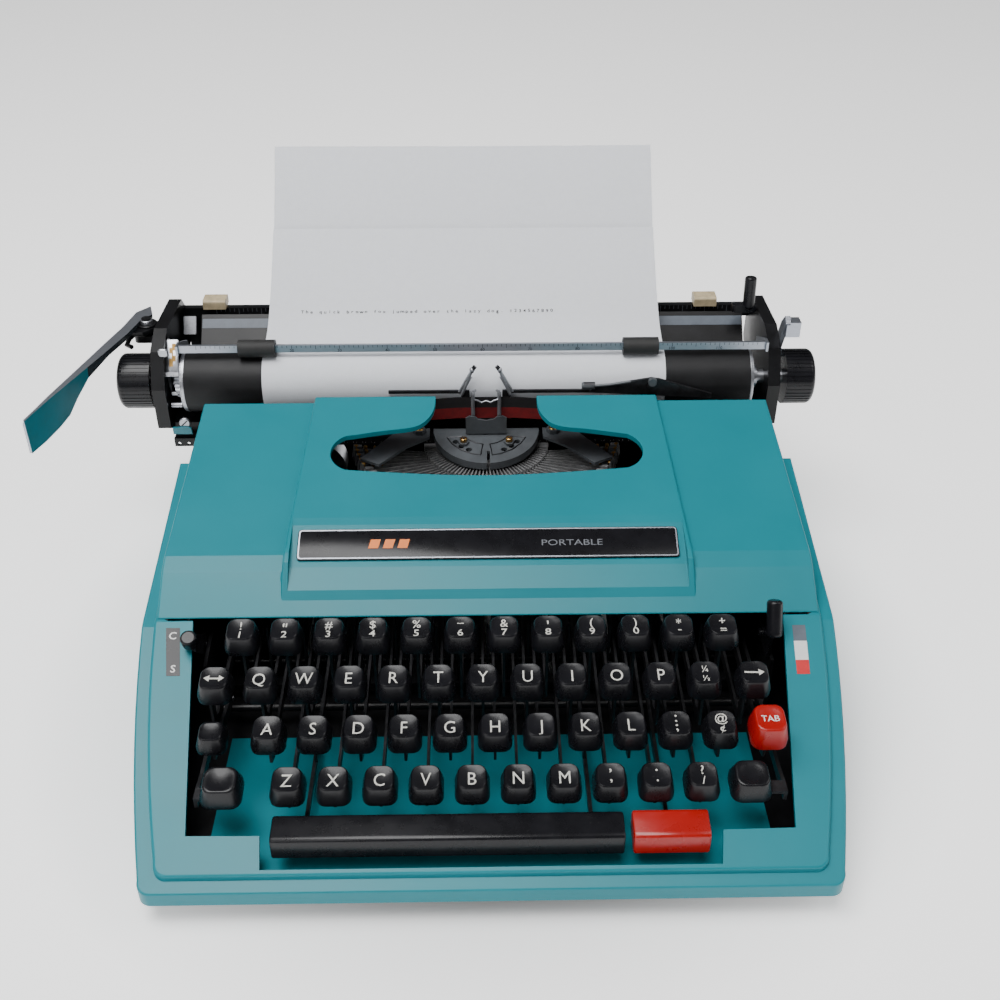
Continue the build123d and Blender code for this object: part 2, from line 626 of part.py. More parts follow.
def ribbon_spool(x):
    hub = rod_z(x, SPOOL_Y, 8.0, SPOOL_Z0, SPOOL_Z1)
    flanges = rod_z(x, SPOOL_Y, SPOOL_R, SPOOL_Z0, SPOOL_Z0 + 0.8)
    flanges += rod_z(x, SPOOL_Y, SPOOL_R, SPOOL_Z1 - 0.8, SPOOL_Z1)
    wound = rod_z(x, SPOOL_Y, 19.0, SPOOL_Z0 + 0.8, SPOOL_Z1 - 0.8)
    holes = rod_z(x, SPOOL_Y, 2.6, SPOOL_Z0 - 1, SPOOL_Z1 + 1)
    return hub + flanges + wound - holes


def spool_cups():
    """Two dished cups with spindles that hold the ribbon spools."""
    cups = []
    for x in (-SPOOL_X, SPOOL_X):
        cup = rod_z(x, SPOOL_Y, 26.5, 69.0, 70.2) + rod_z(x, SPOOL_Y, 2.3, 70.0, 89.0)
        cup += block(x - 6, x + 6, SPOOL_Y - 6, SPOOL_Y + 6, 58.0, 69.2)
        cups.append(cup)
    return cups


def ribbon():
    """Two-colour ribbon in front of the platen, running down to each spool."""
    thick, half_span = 0.3, 70.0
    return block(-half_span, half_span, RIBBON_Y, RIBBON_Y + thick, RIBBON_Z0, RIBBON_Z1)


def ribbon_vibrator():
    """Fork whose two thin prongs lift the ribbon at the printing point."""
    y0, y1 = 245.6, 246.6
    fork = plate_y([(-8, 85.0), (8, 85.0), (8, 105.6), (6.0, 105.6), (6.0, 88.0), (-6.0, 88.0),
                    (-6.0, 105.6), (-8, 105.6)], y0, y1)
    return fork + block(-3, 3, y0, y1, 81.4, 85.4)


# ------------------------------------------------------- fixed guides at back


def line_gauge():
    """Aligning scale across the printing line, open where the type passes."""
    return plate_y([(-52, 102.2), (-14, 102.2), (-11.4, 96.0), (-11.0, 84.0), (11.0, 84.0), (11.4, 96.0),
                    (14, 102.2), (61, 102.2), (61, 103.9), (8.8, 103.9), (8.4, 86.5), (-8.4, 86.5),
                    (-8.8, 103.9), (-52, 103.9)], GAUGE_Y0, GAUGE_Y1)


def card_finger(sign):
    """Bent wire card finger with a small rubber tip."""
    foot, tip = (sign * 13.0, 250.0, 101.5), (sign * 7.3, 250.2, 116.6)
    return tube_between(foot, tip, 0.95) + Pos(*tip) * Sphere(1.4)


def card_holder():
    """Line gauge, its two card fingers, and the bracket and clip at its right."""
    bracket = plate_y([(55.0, 103.0), (57.0, 106.2), (88.0, 111.4), (92.0, 110.8), (121.0, 101.5),
                       (121.0, 99.0)], GAUGE_Y0 - 1.4, GAUGE_Y0 + 0.1)
    clip = rod_x(GAUGE_Y0 - 0.8, 107.0, 1.9, 52.0, 58.0)
    screw = rod_y(88.4, 106.8, 2.6, GAUGE_Y0 - 3.0, GAUGE_Y0 - 1.3)
    return line_gauge() + card_finger(-1) + card_finger(1) + bracket + clip + screw


def carriage_rail():
    """Fixed grooved rail that the carriage runs along."""
    rail = plate_x([(279, 60.5), (291, 60.5), (291, 66.2), (288, 69.5), (288, 71.2), (282, 71.2), (282, 69.5),
                    (279, 66.2)], -SIDE_X, SIDE_X)
    return rail


def escapement_wheel():
    wheel = rod_y(0, 56.0, 10.0, 262.0, 264.0)
    for i in range(ESCAPE_TEETH):
        turn = Pos(0, 263, 56) * Rot(0, i * 360 / ESCAPE_TEETH, 0) * Pos(10.1, 0, 0)
        wheel -= turn * Rot(0, 45, 0) * Box(0.9, 4, 0.9)
    return wheel + rod_y(0, 56.0, 2.0, 258.0, 270.0)


def mainspring_drum():
    drum = rod_y(-96.0, 47.0, 17.0, 262.0, 274.0)
    drum -= rod_y(-96.0, 47.0, 15.0, 260.0, 273.0)
    return drum + rod_y(-96.0, 47.0, 3.0, 258.0, 276.0)


# ------------------------------------------------------------------ carriage


def end_plate(x0, x1):
    outline = plate_x(PLATE_PROFILE, x0, x1)
    outline -= rod_x(PLATEN_Y, PLATEN_Z, SHAFT_R + 0.3, x0 - 1, x1 + 1)
    return outline


def end_plate_left():
    """Left end plate with the ear that carries the return lever."""
    body = end_plate(LEFT_X0, LEFT_X1)
    ear = block(-192.5, LEFT_X0 + 1, 285.0, 298.5, 115.5, 119.5)
    ear = fillet(ear.edges().filter_by(Axis.Z), 3.0)
    return body + ear + rod_z(LEVER_PIVOT[0], LEVER_PIVOT[1], 2.6, 119.0, 127.4)


def end_plate_right():
    return end_plate(RIGHT_X0, RIGHT_X1)


def rack():
    """Perforated strip under the front of the bed that the escapement engages."""
    y0, y1, z0, z1 = 256.0, 257.2, 66.8, 71.8
    strip = block(LEFT_X1, RIGHT_X0, y0, y1, z0, z1) + block(LEFT_X1, RIGHT_X0, y0, y1 + 5, z1 - 1.0, z1)
    first = LEFT_X1 + 2.6
    holes = 63
    for i in range(holes):
        strip -= rod_y(first + i * 5.08, z0 + 1.7, 0.95, y0 - 1, y1 + 1)
    return strip


def carriage_frame():
    """Long bed of the carriage, with its rack in front and a wall behind the paper table."""
    x0, x1 = LEFT_X1, RIGHT_X0
    bed = block(x0, x1, 262.0, 304.0, 76.0, 78.6)
    bed += block(x0, TABLE_X1, 303.0, 325.0, 77.0, 78.6)
    bed += block(x0, TABLE_X1, 323.4, 325.0, 77.0, 111.5)
    bed += rack()
    bed += block(x0, x1, 301.5, 304.0, 68.0, 78.6)
    bed += block(x0, x1, 262.0, 264.0, 68.0, 78.6)
    bed += plate_x([(276.5, 76.5), (276.5, 68.0), (278.5, 68.0), (278.5, 71.9), (291.5, 71.9), (291.5, 68.0),
                    (293.5, 68.0), (293.5, 76.5)], x0, x1)
    bed -= block(-120, 100, 268.0, 275.0, 70, 80)
    return bed


def platen():
    """Rubber-covered roller."""
    tube = rod_x(PLATEN_Y, PLATEN_Z, PLATEN_R, PLATEN_X0, PLATEN_X1)
    return tube - rod_x(PLATEN_Y, PLATEN_Z, SHAFT_R, PLATEN_X0 - 1, PLATEN_X1 + 1)


def platen_shaft():
    """Through shaft with the line ratchet and the stepped collar at its right."""
    shaft = rod_x(PLATEN_Y, PLATEN_Z, SHAFT_R, -185.0, 167.4)
    shaft += rod_x(PLATEN_Y, PLATEN_Z, 6.2, PLATEN_X1, PLATEN_X1 + 5.0)
    ratchet = rod_x(PLATEN_Y, PLATEN_Z, RATCHET_R, -167.6, -165.0)
    for i in range(24):
        turn = Pos(-166.3, PLATEN_Y, PLATEN_Z) * Rot(i * 15, 0, 0) * Pos(0, RATCHET_R + 0.2, 0)
        ratchet -= turn * Rot(45, 0, 0) * Box(5, 1.3, 1.3)
    return shaft + ratchet


def knob(x0, x1, outward):
    """Ribbed platen knob with a rounded outer edge."""
    body = rod_x(PLATEN_Y, PLATEN_Z, KNOB_R, x0, x1)
    rim = [e for e in body.edges().filter_by(GeomType.CIRCLE) if (e.center().X - (x0 + x1) / 2) * outward > 0]
    body = fillet(rim, 3.2)
    ribs = 40
    for i in range(ribs):
        turn = Pos((x0 + x1) / 2, PLATEN_Y, PLATEN_Z) * Rot(i * 360 / ribs, 0, 0)
        body -= turn * Pos(0, KNOB_R + 0.3, 0) * Box(x1 - x0 + 2, 1.2, 0.9)
    inner = x1 if outward < 0 else x0
    hole = rod_x(PLATEN_Y, PLATEN_Z, SHAFT_R, inner - 5.0, inner + 5.0)
    return body - hole


def platen_knobs():
    """Knobs pressed on both ends of the platen shaft."""
    return [knob(-197.8, -180.0, -1), knob(162.4, 178.4, 1)]


def feed_roller(angle):
    """Shaft of rubber feed rollers against the underside of the platen at the given angle."""
    reach = PLATEN_R + PAPER_THICK + FEED_GAP + FEED_R
    y = PLATEN_Y + reach * math.cos(math.radians(angle))
    z = PLATEN_Z + reach * math.sin(math.radians(angle))
    shaft = rod_x(y, z, 1.2, -150, 130)
    for x in (-120, -60, 0, 60, 100):
        shaft += rod_x(y, z, FEED_R, x - 14, x + 14)
    return shaft


def paper_table():
    """Sloping sheet behind the platen, with the scale ledge at its top."""
    profile = [(291.0, 86.0), (293.2, 84.8), (296.0, 97.5), (314.6, 117.0), (312.8, 118.8), (294.2, 99.4)]
    return plate_x(profile, TABLE_X0, TABLE_X1)


def margin_rail():
    """Black rail behind the paper table that the margin stops slide on."""
    return block(LEFT_X1, RIGHT_X0, RAIL_Y0, RAIL_Y1, RAIL_Z0, RAIL_Z1)


def margin_stop(x):
    """Ivory margin stop saddled over the rail."""
    stop = block(x - 6.4, x + 6.4, RAIL_Y0 - 2.8, RAIL_Y1 + 3.2, RAIL_Z1 + 0.4, RAIL_Z1 + 5.6)
    stop += block(x - 5.0, x + 5.0, RAIL_Y1 + 0.4, RAIL_Y1 + 3.2, RAIL_Z0 + 0.4, RAIL_Z1 + 1.4)
    top = stop.edges().filter_by(Axis.X).sort_by(Axis.Z)[-2:]
    return fillet(top, 1.4)


def paper_bail():
    """Flat graduated bar on two side arms that swing up and back from pins in the end plates."""
    x0, x1 = -164.6, 151.4
    bar = block(x0, x1, BAIL_Y - 0.8, BAIL_Y + 0.8, BAIL_Z - 2.1, BAIL_Z + 2.1)
    for x in (x0, x1 - 1.2):
        bar += plate_x(
            [(BAIL_PIVOT_Y - 2.5, BAIL_PIVOT_Z - 2.5), (BAIL_PIVOT_Y + 2.5, BAIL_PIVOT_Z - 2.5),
             (BAIL_PIVOT_Y + 2.5, BAIL_PIVOT_Z + 2.5), (BAIL_Y + 3.0, BAIL_Z + 2.6),
             (BAIL_Y - 2.6, BAIL_Z + 2.6), (BAIL_Y - 2.6, BAIL_Z - 2.6), (BAIL_Y + 2.5, BAIL_Z - 2.8)],
            x, x + 1.2)
    bar += rod_x(BAIL_PIVOT_Y, BAIL_PIVOT_Z, 1.6, LEFT_X1 + 0.2, x0 + 0.2)
    return bar + rod_x(BAIL_PIVOT_Y, BAIL_PIVOT_Z, 1.6, x1 - 0.2, RIGHT_X0 - 0.2)


def bail_rollers():
    rollers = []
    for x0, x1 in BAIL_ROLLERS:
        roller = rod_x(BAIL_Y, BAIL_Z, 4.7, x0, x1) - rod_x(BAIL_Y, BAIL_Z, 2.6, x0 - 1, x1 + 1)
        rollers.append(roller)
    return rollers


def return_lever():
    """Carriage return lever: boss on the ear, narrow blade forward and out, broad upright paddle."""
    px, py, _ = LEVER_PIVOT
    boss = rod_z(px, py, 5.6, 120.0, 127.0)
    thick = 1.8
    sections = [
        ((-191.4, 284.0), 122.4, 126.6), ((-198.0, 266.0), 123.0, 126.6), ((-205.5, 245.0), 120.6, 126.2),
        ((-210.2, 232.0), 112.0, 125.8), ((-214.4, 220.0), 105.6, 125.6), ((-225.2, 190.0), 105.2, 125.0),
    ]
    faces = []
    for (x, y), low, high in sections:
        plane = Plane(origin=(x, y, (low + high) / 2), x_dir=(0.94, -0.34, 0), z_dir=(-0.34, -0.94, 0))
        faces.append(plane * RectangleRounded(thick, high - low, thick * 0.4))
    blade = loft(faces, ruled=True)
    band = plate_z([(-186.0, 306.0), (-192.4, 298.6), (-195.7, 281.4), (-200.9, 263.4), (-206.5, 244.0),
                    (-204.5, 244.0), (-190.5, 284.0), (-183.0, 290.0), (-182.5, 296.5)], 125.4, 127.0)
    return boss + blade + band - rod_z(px, py, 2.7, 119, 136)


def line_space_selector():
    """Bent steel selector: hub on the platen shaft, web up the end plate, sloping face plate."""
    web_x0, web_x1, face_x1 = -171.2, -169.8, -165.2
    hub = rod_x(PLATEN_Y, PLATEN_Z, 7.4, web_x0, web_x1)
    web_profile = [(266.0, 95.0), (274.0, 95.0), (279.0, 121.5), (274.6, 123.9), (262.3, 107.7)]
    web = plate_x(web_profile, web_x0, web_x1)
    face = plate_x([(262.3, 107.7), (263.2, 107.0), (275.5, 123.2), (274.6, 123.9)], web_x0, face_x1)
    return hub + web + face - rod_x(PLATEN_Y, PLATEN_Z, SHAFT_R + 0.3, web_x0 - 1, web_x1 + 1)


def paper_release_lever():
    """Bright curved thumb lever outside the right end plate."""
    blade = plate_x([(276.0, 112.0), (280.0, 110.0), (277.5, 122.0), (272.0, 133.0), (266.0, 139.0),
                     (262.5, 136.0), (268.0, 128.0)], 158.9, 161.6)
    thumb_pad = block(160.0, 167.5, 263.5, 270.5, 127.5, 136.0)
    pivot_boss = rod_x(278.0, 111.5, 3.0, 158.9, 162.4)
    return blade + thumb_pad + pivot_boss


def carriage_release_lever():
    """Black upright finger lever at the top of the right end."""
    grip = Pos(146.6, 300.0, 136.5) * Rot(-8, 0, 0) * Cylinder(3.3, 18)
    grip = fillet(grip.edges(), 1.4)
    foot = block(138.6, 150.0, 297.0, 303.0, 125.5, 129.6)
    return grip + foot + rod_x(300.0, 127.5, 2.6, 137.6, 151.0)


def paper_path(offset):
    """Centre line of the sheet, from its front top edge round the platen to the back."""
    radius = PLATEN_R + 0.2 + offset
    front_angle, back_angle = 101.0, -36.0

    def on_platen(angle):
        a = math.radians(angle)
        return (PLATEN_Y + radius * math.cos(a), PLATEN_Z + radius * math.sin(a))

    front = on_platen(front_angle)
    back = on_platen(back_angle)
    low = on_platen(213.0)
    return front, low, back


def paper_sheet():
    """Letter sheet wound round the platen; both ends lean back."""
    inner, outer = paper_path(0.0), paper_path(PAPER_THICK)
    x0 = PAPER_X0
    front_top, back_top = (341.0, 158.0), (375.0, 194.0)
    face_edges = [
        ThreePointArc(*[(x0, y, z) for y, z in inner]),
        Spline((x0, *inner[2]), (x0, 302.0, 110.6), (x0, *back_top)),
        Line((x0, *back_top), (x0, back_top[0] + 0.2, back_top[1] - 0.22)),
        Spline((x0, back_top[0] + 0.2, back_top[1] - 0.22), (x0, 302.2, 110.38), (x0, *outer[2])),
        ThreePointArc(*[(x0, y, z) for y, z in reversed(outer)]),
        Spline((x0, *outer[0]), (x0, 290.0, 122.3), (x0, front_top[0] - 0.15, front_top[1] + 0.26)),
        Line((x0, front_top[0] - 0.15, front_top[1] + 0.26), (x0, *front_top)),
        Spline((x0, *front_top), (x0, 290.15, 122.04), (x0, *inner[0])),
    ]
    return extrude(make_face(face_edges), amount=PAPER_WIDTH, dir=(1, 0, 0))


# -------------------------------------------------------------------- export
def all_nodes():
    nodes = {
        "lower_case": lower_case(), "top_cover": top_cover(), "name_plate": name_plate(),
        "base_plate": base_plate(), "rubber_feet": rubber_feet(), "side_frames": side_frames(),
        "chassis_rods": chassis_rods(), "key_comb": key_comb(),
        "spacebar": spacebar(), "repeat_key": repeat_key(), "margin_release_key": margin_release_key(),
        "arrow_key": arrow_key(), "tab_key": tab_key(),
        "shift_keys": shift_keys(), "shift_yoke": shift_yoke(),
        "shift_lock_key": shift_lock_key(),
        "touch_lever": touch_lever(), "color_lever": color_lever(),
        "segment": segment(), "segment_plate": segment_plate(), "type_bars": type_bars(),
        "type_bar_centre": type_bar_centre(), "type_guide": type_guide(), "basket_arms": basket_arms(),
        "ribbon_spool_left": ribbon_spool(-SPOOL_X), "ribbon_spool_right": ribbon_spool(SPOOL_X),
        "spool_cups": spool_cups(), "ribbon": ribbon(), "ribbon_vibrator": ribbon_vibrator(),
        "card_holder": card_holder(),
        "carriage_rail": carriage_rail(), "escapement_wheel": escapement_wheel(),
        "mainspring_drum": mainspring_drum(), "carriage_frame": carriage_frame(),
        "end_plate_left": end_plate_left(), "end_plate_right": end_plate_right(), "platen": platen(),
        "platen_shaft": platen_shaft(), "platen_knobs": platen_knobs(),
        "feed_roller_front": feed_roller(232.0), "feed_roller_back": feed_roller(300.0),
        "paper_table": paper_table(), "margin_rail": margin_rail(),
        "margin_stop_left": margin_stop(-153.4), "margin_stop_right": margin_stop(126.0),
        "paper_bail": paper_bail(), "bail_rollers": bail_rollers(), "return_lever": return_lever(),
        "line_space_selector": line_space_selector(), "paper_release_lever": paper_release_lever(),
        "carriage_release_lever": carriage_release_lever(), "paper_sheet": paper_sheet(),
    }
    for row in (1, 2, 3, 4):
        nodes[f"keycaps_row_{row}"] = keycaps(row)
        nodes[f"key_levers_row_{row}"] = key_levers(row)
    return nodes


def as_shape(piece):
    """One shape per node: a single solid, or a group of separate solids."""
    if isinstance(piece, list):
        return Compound([solid for p in piece for solid in p.solids()])
    return piece


def main():
    os.makedirs("parts", exist_ok=True)
    shapes = {name: as_shape(piece) for name, piece in all_nodes().items()}
    boxes = [shape.bounding_box() for shape in shapes.values()]
    low = [min(getattr(box.min, axis) for box in boxes) for axis in "XYZ"]
    high = [max(getattr(box.max, axis) for box in boxes) for axis in "XYZ"]
    shift = Pos(-(low[0] + high[0]) / 2, -(low[1] + high[1]) / 2, -low[2])
    print("origin shift", shift.position)
    for name, shape in shapes.items():
        export_step(shift * shape, f"parts/{name}.step")


main()
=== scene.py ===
import json
import math

import bmesh
import bpy
from mathutils import Matrix, Vector


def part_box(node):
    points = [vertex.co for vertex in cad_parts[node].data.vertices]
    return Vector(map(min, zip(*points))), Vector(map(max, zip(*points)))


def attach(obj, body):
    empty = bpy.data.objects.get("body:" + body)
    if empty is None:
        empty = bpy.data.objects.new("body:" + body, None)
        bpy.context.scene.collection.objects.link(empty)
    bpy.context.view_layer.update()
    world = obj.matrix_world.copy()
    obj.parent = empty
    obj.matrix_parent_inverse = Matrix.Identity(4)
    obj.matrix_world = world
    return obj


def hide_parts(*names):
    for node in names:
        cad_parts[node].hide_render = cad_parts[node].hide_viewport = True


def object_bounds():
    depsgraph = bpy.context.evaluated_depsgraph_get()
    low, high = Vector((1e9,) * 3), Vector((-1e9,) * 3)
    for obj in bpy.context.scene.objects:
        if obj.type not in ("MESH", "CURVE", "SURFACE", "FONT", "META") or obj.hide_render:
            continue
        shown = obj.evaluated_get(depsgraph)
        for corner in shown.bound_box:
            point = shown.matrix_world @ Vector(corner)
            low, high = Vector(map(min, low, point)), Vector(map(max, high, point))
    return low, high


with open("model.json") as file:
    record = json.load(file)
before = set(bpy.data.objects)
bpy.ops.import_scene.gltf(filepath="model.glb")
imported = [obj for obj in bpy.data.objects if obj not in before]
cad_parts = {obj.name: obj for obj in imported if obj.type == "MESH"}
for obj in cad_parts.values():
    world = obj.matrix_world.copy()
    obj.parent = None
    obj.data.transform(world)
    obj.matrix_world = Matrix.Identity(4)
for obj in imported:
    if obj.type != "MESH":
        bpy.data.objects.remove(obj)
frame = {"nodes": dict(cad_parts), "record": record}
cad_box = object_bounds()

# ------------------------------------------------------------------ reference
MM = 0.001
FLOOR_GLOW = 0.8
CASE_HALF = 0.155
case_lo, case_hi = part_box("lower_case")
CASE_FRONT = -4.0
HOME = Vector(((case_lo.x + case_hi.x) / 2, case_lo.y - CASE_FRONT * MM, 0.0))


def at(x, y, z):
    """A point given in machine millimetres: X from the case's centre line, Z from the table."""
    return HOME + Vector((x, y, z)) * MM


# --------------------------------------------------------------------- camera
def camera():
    data = bpy.data.cameras.new("camera")
    cam = bpy.data.objects.new("camera", data)
    bpy.context.scene.collection.objects.link(cam)
    data.lens, data.sensor_width = 43.92, 36.0
    data.clip_start, data.clip_end = 0.01, 20
    cam.location = at(-3.9, -315.9, 430.1)
    down, yaw, roll = math.radians(35.07), math.radians(1.17), math.radians(0.15)
    forward = Vector((math.sin(yaw) * math.cos(down), math.cos(yaw) * math.cos(down), -math.sin(down)))
    cam.rotation_mode = "QUATERNION"
    look = forward.to_track_quat("-Z", "Y")
    cam.rotation_quaternion = look @ Matrix.Rotation(roll, 3, "Z").to_quaternion()
    bpy.context.scene.camera = cam


def light(name, place, aim, size, power):
    data = bpy.data.lights.new(name, "AREA")
    data.shape, data.size, data.size_y, data.energy = "RECTANGLE", size[0], size[1], power
    lamp = bpy.data.objects.new(name, data)
    lamp.location = place
    lamp.rotation_mode = "QUATERNION"
    lamp.rotation_quaternion = (Vector(aim) - Vector(place)).to_track_quat("-Z", "Y")
    bpy.context.scene.collection.objects.link(lamp)


def glow_round_the_machine(tree, shader):
    """The floor glows as bright as a studio sweep; the glow fades out towards the machine and is nil under it, a
    painted shade where the machine stands.
    """
    nodes, links = tree.nodes, tree.links
    where = nodes.new("ShaderNodeTexCoord")
    mapping = nodes.new("ShaderNodeMapping")
    mapping.inputs["Location"].default_value = (-HOME.x / CASE_HALF, -(HOME.y + CASE_HALF) / CASE_HALF, 0)
    mapping.inputs["Scale"].default_value = (1 / CASE_HALF, 1 / CASE_HALF, 0)
    links.new(where.outputs["Object"], mapping.inputs["Vector"])
    distance = nodes.new("ShaderNodeVectorMath")
    distance.operation = "LENGTH"
    links.new(mapping.outputs["Vector"], distance.inputs[0])
    # painted shade: the floor's glow ramps down from distance 1.5 to 0.85 and is nil under the machine
    painted_shade_fade = nodes.new("ShaderNodeMapRange")
    painted_shade_fade.inputs["From Min"].default_value = 0.85
    painted_shade_fade.inputs["From Max"].default_value = 1.5
    painted_shade_fade.inputs["To Max"].default_value = FLOOR_GLOW
    links.new(distance.outputs["Value"], painted_shade_fade.inputs["Value"])
    links.new(painted_shade_fade.outputs["Result"], shader.inputs["Emission Strength"])


def studio():
    world = bpy.data.worlds.new("studio")
    world.use_nodes = True
    background = world.node_tree.nodes["Background"]
    background.inputs["Color"].default_value = (1, 1, 1, 1)
    background.inputs["Strength"].default_value = 0.09
    bpy.context.scene.world = world
    light("key_light", (-0.35, -0.3, 1.6), (0, 0, 0.05), (1.3, 0.9), 36)
    light("front_light", (-0.9, -1.0, 0.9), (0, 0, 0.05), (0.9, 0.6), 4)
    light("fill_light", (1.1, -0.1, 1.0), (0, 0, 0.05), (0.7, 0.7), 4)
    bm = bmesh.new()
    bmesh.ops.create_grid(bm, x_segments=8, y_segments=8, size=3.0)
    mesh = bpy.data.meshes.new("floor")
    bm.to_mesh(mesh)
    bm.free()
    floor = bpy.data.objects.new("floor", mesh)
    bpy.context.scene.collection.objects.link(floor)
    floor.location.z = cad_box[0].z
    paint = bpy.data.materials.new("floor_white")
    paint.use_nodes = True
    shader = paint.node_tree.nodes["Principled BSDF"]
    shader.inputs["Base Color"].default_value = (0.95, 0.95, 0.95, 1)
    shader.inputs["Roughness"].default_value = 0.85
    shader.inputs["Specular IOR Level"].default_value = 0.1
    shader.inputs["Emission Color"].default_value = (1, 1, 1, 1)
    glow_round_the_machine(paint.node_tree, shader)
    mesh.materials.append(paint)


camera()
studio()


# ------------------------------------------------------------------ materials
def surface(name, color, rough=0.4, metallic=0.0, vary=0.15, scale=40.0, rough_vary=0.08,
            grain=0.0, grain_scale=1500.0, stretch=(1, 1, 1), dust=0.0, shine=0.5):
    """Procedural finish: mottled colour, uneven roughness and a fine grain in the surface."""
    mat = bpy.data.materials.new(name)
    mat.use_nodes = True
    nodes, links = mat.node_tree.nodes, mat.node_tree.links
    shader = nodes["Principled BSDF"]
    shader.inputs["Metallic"].default_value = metallic
    shader.inputs["Specular IOR Level"].default_value = shine
    where = nodes.new("ShaderNodeTexCoord")
    mapping = nodes.new("ShaderNodeMapping")
    mapping.inputs["Scale"].default_value = stretch
    links.new(where.outputs["Object"], mapping.inputs["Vector"])
    cloud = nodes.new("ShaderNodeTexNoise")
    cloud.inputs["Scale"].default_value = scale
    cloud.inputs["Detail"].default_value = 6
    cloud.inputs["Roughness"].default_value = 0.62
    links.new(mapping.outputs["Vector"], cloud.inputs["Vector"])
    ramp = nodes.new("ShaderNodeValToRGB")
    ramp.color_ramp.elements[0].position = 0.3
    ramp.color_ramp.elements[1].position = 0.7
    ramp.color_ramp.elements[0].color = (*[c * (1 - vary) for c in color], 1)
    ramp.color_ramp.elements[1].color = (*[min(1, c * (1 + vary)) for c in color], 1)
    links.new(cloud.outputs["Fac"], ramp.inputs["Fac"])
    out = ramp.outputs["Color"]
    if dust:
        specks = nodes.new("ShaderNodeTexNoise")
        specks.inputs["Scale"].default_value = 900
        specks.inputs["Detail"].default_value = 3
        links.new(where.outputs["Object"], specks.inputs["Vector"])
        mask = nodes.new("ShaderNodeMapRange")
        mask.inputs["From Min"].default_value = 0.66
        mask.inputs["From Max"].default_value = 0.78
        mask.inputs["To Max"].default_value = dust
        links.new(specks.outputs["Fac"], mask.inputs["Value"])
        mix = nodes.new("ShaderNodeMix")
        mix.data_type = "RGBA"
        mix.inputs["B"].default_value = (0.3, 0.3, 0.28, 1)
        links.new(mask.outputs["Result"], mix.inputs["Factor"])
        links.new(out, mix.inputs["A"])
        out = mix.outputs["Result"]
    links.new(out, shader.inputs["Base Color"])
    level = nodes.new("ShaderNodeMapRange")
    level.inputs["To Min"].default_value = max(0.03, rough - rough_vary)
    level.inputs["To Max"].default_value = min(1.0, rough + rough_vary)
    links.new(cloud.outputs["Fac"], level.inputs["Value"])
    links.new(level.outputs["Result"], shader.inputs["Roughness"])
    if grain:
        fine = nodes.new("ShaderNodeTexNoise")
        fine.inputs["Scale"].default_value = grain_scale
        fine.inputs["Detail"].default_value = 3
        links.new(mapping.outputs["Vector"], fine.inputs["Vector"])
        bump = nodes.new("ShaderNodeBump")
        bump.inputs["Strength"].default_value = grain
        bump.inputs["Distance"].default_value = 0.0002
        links.new(fine.outputs["Fac"], bump.inputs["Height"])
        links.new(bump.outputs["Normal"], shader.inputs["Normal"])
    return mat


TEAL = (0.006, 0.200, 0.245)
FINISH = {
    "teal_plastic": surface("teal_plastic", TEAL, rough=0.36, vary=0.05, scale=18, grain=0.05, grain_scale=2500,
                            shine=0.3),
    "black_plastic": surface("black_plastic", (0.007, 0.007, 0.009), rough=0.28, vary=0.3, scale=90, grain=0.06,
                             dust=0.06, shine=0.32),
    "red_plastic": surface("red_plastic", (0.36, 0.006, 0.004), rough=0.28, vary=0.06, scale=60, grain=0.04),
    "ivory_plastic": surface("ivory_plastic", (0.5, 0.41, 0.26), rough=0.5, vary=0.25, scale=200, grain=0.3),
    "black_paint": surface("black_paint", (0.006, 0.006, 0.007), rough=0.36, vary=0.4, scale=120, grain=0.08,
                           dust=0.05, shine=0.3),
    "platen_rubber": surface("platen_rubber", (0.008, 0.008, 0.009), rough=0.5, vary=0.3, scale=80, grain=0.3,
                             grain_scale=3500, shine=0.3),
    "foot_rubber": surface("foot_rubber", (0.014, 0.014, 0.014), rough=0.65, vary=0.4, scale=200, grain=0.4,
                           grain_scale=3000),
    "steel": surface("steel", (0.42, 0.43, 0.46), rough=0.3, metallic=0.85, vary=0.14, scale=300,
                     stretch=(1, 6, 6), grain=0.15),
    "dark_steel": surface("dark_steel", (0.05, 0.05, 0.054), rough=0.42, metallic=0.85, vary=0.3, scale=200,
                          grain=0.2),
    "grey_steel": surface("grey_steel", (0.10, 0.11, 0.12), rough=0.42, metallic=0.4, vary=0.14, scale=160,
                          grain=0.2),
    "aluminium": surface("aluminium", (0.4, 0.42, 0.47), rough=0.36, metallic=0.9, vary=0.08, scale=300,
                         stretch=(1, 5, 5), grain=0.12),
    "paper": surface("paper", (0.74, 0.76, 0.8), rough=0.85, vary=0.02, scale=300, grain=0.5, grain_scale=1800),
    "ribbon_cloth": surface("ribbon_cloth", (0.16, 0.004, 0.006), rough=0.8, vary=0.3, scale=300, grain=0.5),
}
